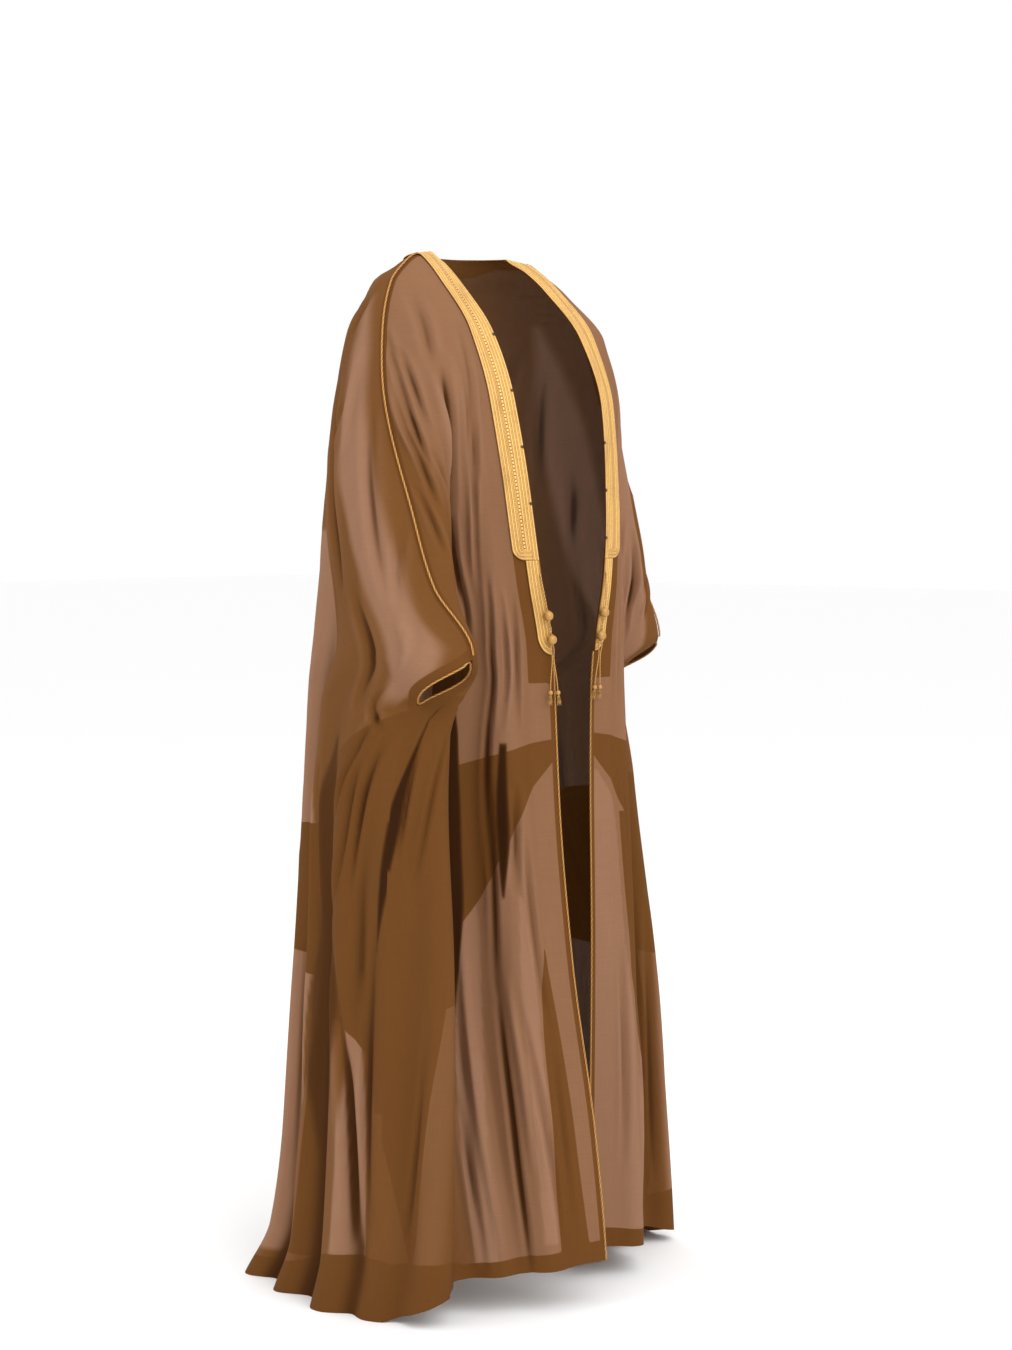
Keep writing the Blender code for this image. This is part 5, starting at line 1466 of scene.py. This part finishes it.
class BISHT_OT_cords(bpy.types.Operator):
    """Makes the gold cords on the front edges, the shoulder seams and the cuffs' rims."""

    bl_idname = "bisht.cords"
    bl_label = "Gold cords"

    def execute(self, context):
        settings = context.scene.bisht_gold
        material = cord_material(settings, "gold cord", tuple(settings.cord_colour))
        for side in (RIGHT, LEFT):
            self.edge(side, settings, material)
            self.shoulder(side, settings, material)
            self.cuff(side, settings, material)
        return {"FINISHED"}

    def finish_cord(self, made, node):
        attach(made, "root")
        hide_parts(node)

    def edge(self, side, settings, material):
        height = np.linspace(NARROW_BAND_END - 0.001, side.hem[0] + 0.0008, 900)
        edge = side.front_strip(np.zeros_like(height), height)
        inside = side.front_strip(np.full_like(height, 0.003), height)
        away = unit(edge - inside)
        down = unit(np.gradient(edge, axis=0))
        outward = unit(np.cross(down, away)) * (1.0 if side.sign < 0 else -1.0)
        outward = np.where(outward[:, 1:2] > 0, -outward, outward)
        path = edge + outward * WALL / 2 + away * (CORD_RADIUS + SEAM_GAP)
        made = cord_mesh("edge_cord_twist_" + side.name, path, outward, CORD_RADIUS, settings.twist_pitch,
                         material)
        self.finish_cord(made, "edge_cord_" + side.name)

    def shoulder(self, side, settings, material):
        share = np.linspace(side.band_share + 0.002, 1.0 - 0.005, 640)
        seam, outward = seam_frame(side, share)
        path = seam + outward * (WALL + 0.0019)
        made = cord_mesh("shoulder_cord_twist_" + side.name, path, outward, CORD_RADIUS, settings.twist_pitch,
                         material)
        self.finish_cord(made, "shoulder_piping_" + side.name)

    def cuff(self, side, settings, material):
        height = np.linspace(side.cuff_top, side.cuff_bottom, 15)
        lines = []
        for place in (side.front_point, side.back_point):
            rim = place(np.ones(15), height)
            inside = place(np.full(15, 0.992), height)
            away = unit(rim - inside)
            down = unit(np.gradient(rim, axis=0))
            outward = unit(np.cross(away, down))
            outward = np.where(outward[:, 1:2] * 0.5 + outward[:, :1] * side.sign < 0, -outward, outward)
            lines.append((rim + outward * WALL / 2 + away * CUFF_CORD_REACH)[2:-2])
        top = side.front_point(np.ones(1), np.array([side.cuff_top]))[0]
        bottom = side.front_point(np.ones(1), np.array([side.cuff_bottom]))[0]
        slit = unit(bottom - top)
        corners = np.concatenate([[top + slit * CUFF_END_REACH], lines[0], [bottom - slit * CUFF_END_REACH],
                                  lines[1][::-1]])
        path = rounded_run(corners, 0.0009, closed=True)
        ahead = np.roll(path, -1, axis=0) - np.roll(path, 1, axis=0)
        first = np.cross(ahead, path - path.mean(axis=0))
        turns = round(np.linalg.norm(np.diff(path, axis=0), axis=1).sum() / settings.twist_pitch)
        length = np.linalg.norm(np.roll(path, -1, axis=0) - path, axis=1).sum()
        made = cord_mesh("cuff_cord_twist_" + side.name, path, first, CORD_RADIUS, length / turns, material,
                         closed=True)
        self.finish_cord(made, "cuff_cord_" + side.name)


def turned(profile, centre, axis, side_axis, radius, ribs, sides):
    """A turned form: a profile of (place, radius) rows carried round an axis, with ribs."""
    place = np.array([row[0] for row in profile]) * radius
    reach = np.array([row[1] for row in profile]) * radius
    angle = np.arange(sides) * 2 * math.pi / sides
    other = np.cross(axis, side_axis)
    swell = 1.0 + 0.035 * np.cos(ribs * angle)
    ring = side_axis * np.cos(angle)[:, None] + other * np.sin(angle)[:, None]
    points = centre + axis * place[:, None, None] + ring[None] * (reach[:, None] * swell[None])[..., None]
    ridge = np.broadcast_to(0.5 + 0.5 * np.cos(ribs * angle), points.shape[:2])
    uv = np.stack([np.broadcast_to(angle / (2 * math.pi) * 0.04, ridge.shape),
                   np.broadcast_to(place[:, None], ridge.shape)], axis=-1)
    return points, ridge, uv


def edge_frame(side, height):
    """Points of the front edge, the outward direction there and the way along the cloth."""
    start = side.front_strip(np.zeros_like(height), height)
    along = unit(side.front_strip(np.full_like(height, 0.010), height) - start)
    outward = unit(np.cross(along, np.array([0.0, 0.0, -1.0]))) * (-side.sign)
    return start, outward, along


def merged(parts):
    """Several (points, faces, uv, ridge) forms as one."""
    points, faces, uvs, ridges = [], [], [], []
    start = 0
    for point, face, uv, ridge in parts:
        points.append(point.reshape(-1, 3))
        faces += [[corner + start for corner in one] for one in face]
        uvs.append(uv.reshape(-1, 2))
        ridges.append(ridge.ravel())
        start += points[-1].shape[0]
    return np.concatenate(points), faces, np.concatenate(uvs), np.concatenate(ridges)


def string_form(path, radius, sides=8, lobes=2, twist=0.005, depth=0.12):
    """A thin twisted string as bare arrays, its two ends closed by their rings' middles."""
    first = np.broadcast_to(np.array([0.3, -0.9, 0.2]), path.shape)
    first, second = frames_along(path, first, False)
    steps = np.linalg.norm(np.diff(path, axis=0), axis=1)
    along = np.concatenate([[0.0], np.cumsum(steps)])
    angle = np.arange(sides) * 2 * math.pi / sides
    lay = np.cos(lobes * angle[None, :] - 2 * math.pi * along[:, None] / twist)
    width = np.broadcast_to(np.asarray(radius, dtype=float), along.shape)[:, None]
    width = width * (1 - depth / 2 + depth / 2 * lay)
    ring = first[:, None] * np.cos(angle)[None, :, None] + second[:, None] * np.sin(angle)[None, :, None]
    points = (path[:, None] + ring * width[..., None]).reshape(-1, 3)
    around_cord = np.broadcast_to(angle / (2 * math.pi) * 0.006, lay.shape)
    uv = np.stack([around_cord, along[:, None] + 0 * lay], axis=-1)
    rows = len(path)
    faces = grid_faces(rows, sides, flipped=True, closed=True).tolist()
    faces.append([k for k in range(sides)])
    faces.append([(rows - 1) * sides + k for k in range(sides)][::-1])
    return points, faces, uv, (lay + 1) / 2


def bead_form(centre, axis, side_axis, radius, ribs=26, sides=52):
    profile = smooth_profile(BEAD_PROFILE, 5)
    points, ridge, uv = turned(profile, centre, axis, side_axis, radius, ribs, sides)
    faces = grid_faces(*points.shape[:2], flipped=True, closed=True).tolist()
    return points, faces, uv, ridge


def smooth_profile(profile, samples):
    """A profile's rows with rounded ones between them."""
    rows = np.array(profile, dtype=float)
    ends = np.concatenate([2 * rows[:1] - rows[1:2], rows, 2 * rows[-1:] - rows[-2:-1]])
    dense = through(ends[None], samples)[0]
    dense[:, 1] = np.maximum(dense[:, 1], 0.002)
    return dense


class BISHT_OT_tassels(bpy.types.Operator):
    """Makes both tassels: their beads, strings and frayed ends."""

    bl_idname = "bisht.tassels"
    bl_label = "Tassels"

    def execute(self, context):
        gold = context.scene.bisht_gold
        settings = context.scene.bisht_tassel
        beads = cord_material(gold, "wrapped beads", tuple(settings.bead_colour))
        for side in (RIGHT, LEFT):
            self.head(side, settings, beads)
            for number, spread in ((1, -STRING_SPREAD), (2, STRING_SPREAD)):
                self.string(side, number, spread, settings, beads)
        return {"FINISHED"}

    def hanging(self, side, height, settings):
        """The middle line of the hanging beads at a height, and the directions there."""
        start, outward, along = edge_frame(side, height)
        stand_off = settings.bead_radius + WALL + 0.0013 + 3 * SEAM_GAP
        return start + outward * stand_off + along * settings.bead_radius * 0.3, outward, along

    def head(self, side, settings, material):
        down = np.array([0.0, 0.0, -1.0])
        start, outward, along = edge_frame(side, np.array([TASSEL_TOP]))
        loop = start + outward * (settings.string_radius + WALL + 0.0026) + along * settings.bead_radius * 0.3
        heights = UPPER_BEAD + settings.bead_radius * np.array([2.6, 1.05])
        path, _, _ = self.hanging(side, heights, settings)
        cord = rounded_run(np.concatenate([loop, path]), 0.0006)
        parts = [string_form(cord, settings.string_radius * 1.1)]
        centres, outward, along = self.hanging(side, np.array([UPPER_BEAD, LOWER_BEAD]), settings)
        axis = -down
        for centre, sideways in zip(centres, along):
            flat = unit(sideways - axis * sideways.dot(axis))
            parts.append(bead_form(centre, axis, flat, settings.bead_radius))
        heights = np.linspace(UPPER_BEAD - 0.0065, LOWER_BEAD + 0.0065, 24)
        between, _, _ = self.hanging(side, heights, settings)
        turn = np.linspace(0.0, 1.6 * math.pi, 24)
        for phase in (0.0, math.pi):
            aside = along[:1] * np.cos(turn + phase)[:, None] + outward[:1] * np.sin(turn + phase)[:, None]
            parts.append(string_form(between + aside * settings.string_radius * 0.95, settings.string_radius))
        points, faces, uv, ridge = merged(parts)
        made = add_mesh("tassel_beads_" + side.name, points, faces, material, uv, {"ridge": ridge})
        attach(made, "root")
        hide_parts("tassel_head_" + side.name)

    def string(self, side, number, spread, settings, material):
        """One string below the beads: it leaves them close to the other, crosses over and
        spreads to its small bead, under which its strands fan out."""
        top = LOWER_BEAD - settings.bead_radius * 1.0
        heights = np.linspace(top, SMALL_BEAD + settings.small_bead_radius, 40)
        middle, outward, along = self.hanging(side, heights, settings)
        t = (top - heights) / (top - SMALL_BEAD)
        sign = math.copysign(1.0, spread)
        shift = sign * (0.0020 * np.sin(t * math.pi * 3.0) * (1 - smooth_step(t / 0.35)) + 0.0012 * (1 - t)
                        + abs(spread) * smooth_step((t - 0.15) / 0.85))
        lift = sign * 0.0010 * (1 - smooth_step(t / 0.5))
        path = middle + along * shift[:, None] + outward * (lift - 0.001 * t)[:, None]
        parts = [string_form(path, settings.string_radius * 0.92)]
        axis = unit(path[0] - path[-1])
        flat = unit(along[-1] - axis * along[-1].dot(axis))
        centre = path[-1] - axis * settings.small_bead_radius * 0.9
        parts.append(bead_form(centre, axis, flat, settings.small_bead_radius, ribs=14, sides=28))
        parts += self.fray(centre - axis * settings.small_bead_radius * 0.9, axis, flat, settings, number)
        points, faces, uv, ridge = merged(parts)
        name = f"tassel_string_{side.name}_{number}"
        made = add_mesh(name + "_thread", points, faces, material, uv, {"ridge": ridge})
        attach(made, "root")
        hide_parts(name)

    def fray(self, root, axis, flat, settings, seed):
        """Strands that leave the bead together, splay and curl: each bends out by its own
        angle, by a golden angle's turn from the last."""
        strands = []
        other = np.cross(axis, flat)
        count = settings.strands
        for k in range(count):
            angle = k * 2.39996 + seed
            out = flat * math.cos(angle) + other * math.sin(angle)
            reach = 0.0034 * math.sqrt((k + 0.5) / count)
            length = FRAY * (0.80 + 0.20 * math.cos(k * 1.7 + seed))
            t = np.linspace(0.0, 1.0, 7)[:, None]
            curl = 0.0006 * np.sin(t * math.pi * 2 + k) * other
            path = root - axis * length * t + out * (0.0010 * (1 - t) + reach * t**0.8) + curl
            strands.append(string_form(path, 0.00026, sides=3, lobes=1, twist=0.01, depth=0.0))
        return strands


def area_light(name, azimuth, elevation, distance, size, power, aim):
    """A soft square light that faces the cloak."""
    data = bpy.data.lights.new(name, "AREA")
    data.shape = "SQUARE"
    data.size = size
    data.energy = power
    lamp = bpy.data.objects.new(name, data)
    flat = distance * math.cos(elevation)
    height = distance * math.sin(elevation) + aim
    place = np.array([flat * math.sin(azimuth), -flat * math.cos(azimuth), height])
    lamp.location = place
    towards = np.array([0.0, 0.0, aim]) - place
    lamp.rotation_euler = look_along(towards)
    bpy.context.scene.collection.objects.link(lamp)
    return lamp


def look_along(towards):
    """The turn that points a light or camera's -Z along a direction, with its top up."""
    x, y, z = towards
    return (math.atan2(math.hypot(x, y), -z), 0.0, math.atan2(-x, y))


class BISHT_OT_stage(bpy.types.Operator):
    """Makes the pale floor, the soft lights and the camera."""

    bl_idname = "bisht.stage"
    bl_label = "Stage"

    def execute(self, context):
        settings = context.scene.bisht_stage
        self.floor(settings)
        area_light("key", math.radians(-18), math.radians(38), 4.2, 3.2, settings.key_power, -0.7)
        area_light("fill", math.radians(-110), math.radians(18), 4.2, 3.0, settings.fill_power, -0.7)
        area_light("top", math.radians(-60), math.radians(80), 3.4, 3.0, settings.top_power, -0.7)
        world = bpy.data.worlds.new("pale surroundings")
        world.use_nodes = True
        background = world.node_tree.nodes["Background"]
        background.inputs["Color"].default_value = (1.0, 1.0, 1.0, 1.0)
        background.inputs["Strength"].default_value = settings.world_strength
        context.scene.world = world
        context.scene.view_settings.view_transform = "Standard"
        self.camera(context)
        return {"FINISHED"}

    def floor(self, settings):
        reach = np.linspace(-30.0, 30.0, 2)
        points = np.stack([*np.meshgrid(reach, reach), np.full((2, 2), -NECK_HEIGHT)], axis=-1)
        floor = add_mesh("floor", points, grid_faces(2, 2), floor_material(settings))

    def camera(self, context):
        data = bpy.data.cameras.new("camera")
        data.sensor_fit = "HORIZONTAL"
        data.sensor_width = SENSOR_WIDTH
        data.lens = SENSOR_WIDTH * PIXELS_PER_METRE * VIEW_DISTANCE / FRAME_WIDTH
        data.shift_x = (FRAME_WIDTH / 2 - AXIS_COLUMN) / FRAME_WIDTH
        data.clip_end = 100.0
        camera = bpy.data.objects.new("camera", data)
        place = np.array([math.sin(VIEW_AZIMUTH) * VIEW_DISTANCE, -math.cos(VIEW_AZIMUTH) * VIEW_DISTANCE,
                          CAMERA_RISE])
        camera.location = place
        camera.rotation_euler = look_along(np.array([0.0, 0.0, AIM_RISE]) - place)
        context.scene.collection.objects.link(camera)
        context.scene.camera = camera


class BISHT_PT_panel(bpy.types.Panel):
    """The bisht's makers and settings, in the 3D view's sidebar."""

    bl_label = "Bisht"
    bl_space_type = "VIEW_3D"
    bl_region_type = "UI"
    bl_category = "Bisht"

    def draw(self, context):
        for maker in MAKERS:
            self.layout.operator(maker.bl_idname)
        for key, group in GROUPS.items():
            box = self.layout.box()
            for name in group.__annotations__:
                box.prop(getattr(context.scene, key), name)


GROUPS = {"bisht_cloth": BishtCloth, "bisht_gold": BishtGold, "bisht_tassel": BishtTassel,
          "bisht_stage": BishtStage}
MAKERS = (BISHT_OT_stage, BISHT_OT_cloth, BISHT_OT_inner_layers, BISHT_OT_bands, BISHT_OT_cords,
          BISHT_OT_tassels)


def register():
    for group in GROUPS.values():
        bpy.utils.register_class(group)
    for maker in MAKERS:
        bpy.utils.register_class(maker)
    bpy.utils.register_class(BISHT_PT_panel)
    for key, group in GROUPS.items():
        setattr(bpy.types.Scene, key, bpy.props.PointerProperty(type=group))


def unregister():
    for key in GROUPS:
        delattr(bpy.types.Scene, key)
    bpy.utils.unregister_class(BISHT_PT_panel)
    for maker in reversed(MAKERS):
        bpy.utils.unregister_class(maker)
    for group in reversed(GROUPS.values()):
        bpy.utils.unregister_class(group)


def main():
    register()
    bpy.ops.bisht.stage()
    bpy.ops.bisht.cloth()
    bpy.ops.bisht.inner_layers()
    bpy.ops.bisht.bands()
    bpy.ops.bisht.cords()
    bpy.ops.bisht.tassels()


if __name__ == "__main__":
    main()
